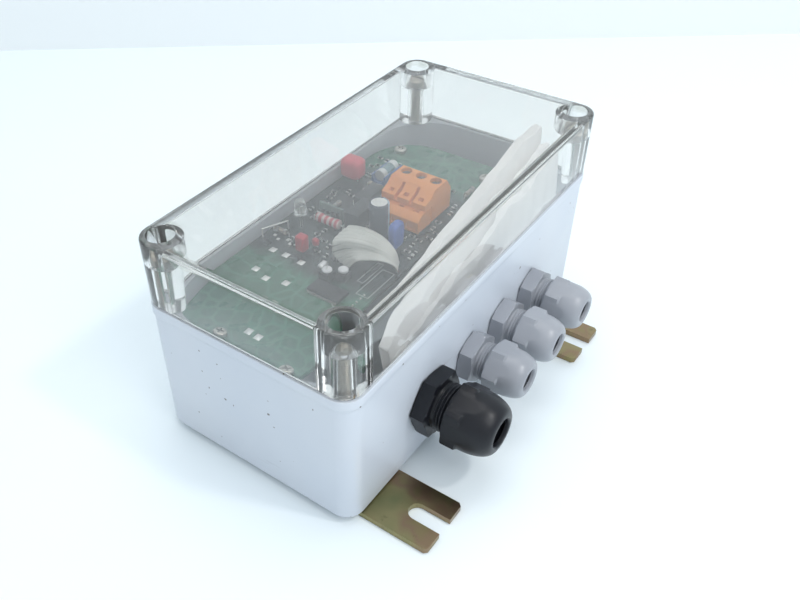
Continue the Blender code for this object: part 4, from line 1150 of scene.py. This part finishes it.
# Painted shade: the lines between the cores are darkened where the grooves lie.
groove_shade = cable_grey.band(cable_grey.maths(
    'ABSOLUTE', cable_grey.maths('FRACT', across_cable * CORES) - 0.5), 0.34, 0.48)
cable_grey.feed(Base_Color=cable_grey.blend(groove_shade, cable_grey.blend(
    cable_grey.band(cable_grey.noise(120.0, 3.0), 0.35, 0.7), (0.74, 0.75, 0.72),
    (0.64, 0.65, 0.62)), (0.34, 0.35, 0.34)))
cable_grey.feed(Roughness=cable_grey.noise(300.0) * 0.12 + 0.36)
ribbon = show("flat_cable", bm, cable_grey, BODY, ["ribbon_jumper"], crease=70)
thick = ribbon.modifiers.new("thickness", 'SOLIDIFY')
thick.thickness = 0.0006
thick.offset = -1.0
bm = bmesh.new()
for number in range(CORES):
    s = (number + 0.5) / CORES
    for point in (along_line(first_end, s), near_edge[-1].lerp(far_edge[-1], s)):
        top = on_board(point.x / 1000, point.y / 1000, max(point.z / 1000, 0.0004))
        bar(bm, Vector((top.x, top.y, BOARD_TOP)), top, 0.00025, 8)
show("flat_cable_cores", bm, tin, BODY, crease=40)

# Fuse: a glass tube with a plated cap crimped on each end. It is pressed into the groove of a
# blue moulded base and lifts out upwards.
x, y, z = limits("fuse_holder")
fuse_x, fuse_y, fuse_z = limits("fuse")
radius = (fuse_y[1] - fuse_y[0]) / 2
middle_y, middle_z = sum(fuse_y) / 2, sum(fuse_z) / 2
bm = bmesh.new()
slab(bm, x, y, z)
tool = bmesh.new()
bar(tool, Vector((x[0] - 0.001, middle_y, middle_z)), Vector((x[1] + 0.001, middle_y, middle_z)),
    radius + 0.0003, 40)
bm = carve(bm, tool)
holder_blue = satin("holder blue", (0.10, 0.20, 0.50), (0.08, 0.17, 0.44), 0.4, 900.0, 0.08)
show("fuse_base", bm, holder_blue, BODY, ["fuse_holder"], ease=0.0003, crease=40)
bm = bmesh.new()
CAP = 0.0030
for low, high in ((fuse_x[0], fuse_x[0] + CAP), (fuse_x[1] - CAP, fuse_x[1])):
    bar(bm, Vector((low, middle_y, middle_z)), Vector((high, middle_y, middle_z)), radius, 40)
show("fuse_caps", bm, tin, "fuse", ["fuse"], ease=0.0003, crease=40)
bm = bmesh.new()
bar(bm, Vector((fuse_x[0] + CAP - 0.0002, middle_y, middle_z)),
    Vector((fuse_x[1] - CAP + 0.0002, middle_y, middle_z)), radius - 0.0002, 40)
tube = Paint("fuse glass", (0.50, 0.80, 0.88), Roughness=0.03, IOR=1.5, Transmission_Weight=0.7)
tube.feed(Roughness=tube.noise(500.0) * 0.04 + 0.02)
show("fuse_tube", bm, tube, "fuse", crease=40)

# Leaflet: a sheet of thin white paper folded lengthwise, tucked in along the gland side; its
# rolled upper fold rises towards one end.
(x0, x1), (y0, y1), (z0, z1) = limits("instruction_leaflet")
# Share of the sheet's width, then the height and depth shares that each fold reaches.
PANELS = ((0.0, 0.02, 0.0), (0.10, 1.0, 0.05), (0.24, 1.0, 0.30), (0.38, 0.06, 0.40),
          (0.50, 0.05, 0.48), (0.64, 0.86, 0.55), (0.74, 0.84, 0.70), (0.88, 0.10, 0.78),
          (1.0, 0.45, 0.94))


def fold(share):
    """Height and depth shares of the folded sheet, by the share of its width."""
    for (a, up_a, in_a), (b, up_b, in_b) in zip(PANELS, PANELS[1:]):
        if share <= b:
            t = (share - a) / (b - a)
            ease_in = t * t * (3 - 2 * t)
            return up_a + (up_b - up_a) * ease_in, in_a + (in_b - in_a) * t
    return PANELS[-1][1:]


bm = bmesh.new()
bmesh.ops.create_grid(bm, x_segments=150, y_segments=120, size=1.0)
END_RISE = (0.012, 0.027)
TURNED_DOWN = 0.0055
MARGIN = 0.0003
PAPER = 0.00022
for vert in bm.verts:
    u, v = (vert.co.x + 1) / 2, (vert.co.y + 1) / 2
    up, back = fold(v)
    x = x0 + (x1 - x0) * u
    rise = min(1.0, max(0.0, (x - x0 - END_RISE[0]) / (x1 - x0 - END_RISE[1])))
    crest = RIM_Z + 0.0012 + (z1 - RIM_Z - 0.0012) * rise - TURNED_DOWN * max(0.0, 1 - u * 10)
    foot = z0 + 0.0040 * (1 - u)
    wave = (0.0011 * math.sin(17 * u + 5 * v) + 0.0007 * math.sin(41 * u - 9 * v)
            + 0.0005 * math.sin(73 * u + 21 * v))
    loose = min(1.0, 3 * v)
    y = y1 - 0.0008 - (y1 - y0 - 0.0016) * back + wave * (0.08 + 0.92 * loose) * (1 - 0.5 * up)
    z = foot + (crest - foot) * up - 0.0016 * loose * (0.5 + 0.5 * math.sin(23 * u + 3)) * up
    vert.co = (x, min(max(y, y0 + MARGIN), y1 - MARGIN), min(z, z1 - MARGIN))
bmesh.ops.smooth_vert(bm, verts=bm.verts, factor=0.5, use_axis_x=False, use_axis_y=True,
                      use_axis_z=True)
bmesh.ops.recalc_face_normals(bm, faces=bm.faces)
# Painted light: the paper glows faintly, though it is no lamp, so that it reads as brightly lit.
paper = Paint("white paper", (0.94, 0.95, 0.95), Roughness=0.75, Emission_Strength=0.08)
paper.feed(Base_Color=paper.blend(paper.band(paper.noise(40.0, 4.0), 0.3, 0.7),
                                  (0.96, 0.97, 0.97), (0.90, 0.91, 0.92)))
paper.feed(Roughness=paper.noise(500.0) * 0.1 + 0.7)
paper.bump(paper.noise(60.0, 4.0, 0.6), 0.3, 0.0006)
leaflet = show("folded_leaflet", bm, paper, BODY, ["instruction_leaflet"], crease=60)
thick = leaflet.modifiers.new("thickness", 'SOLIDIFY')
thick.thickness = PAPER
thick.offset = 0.0
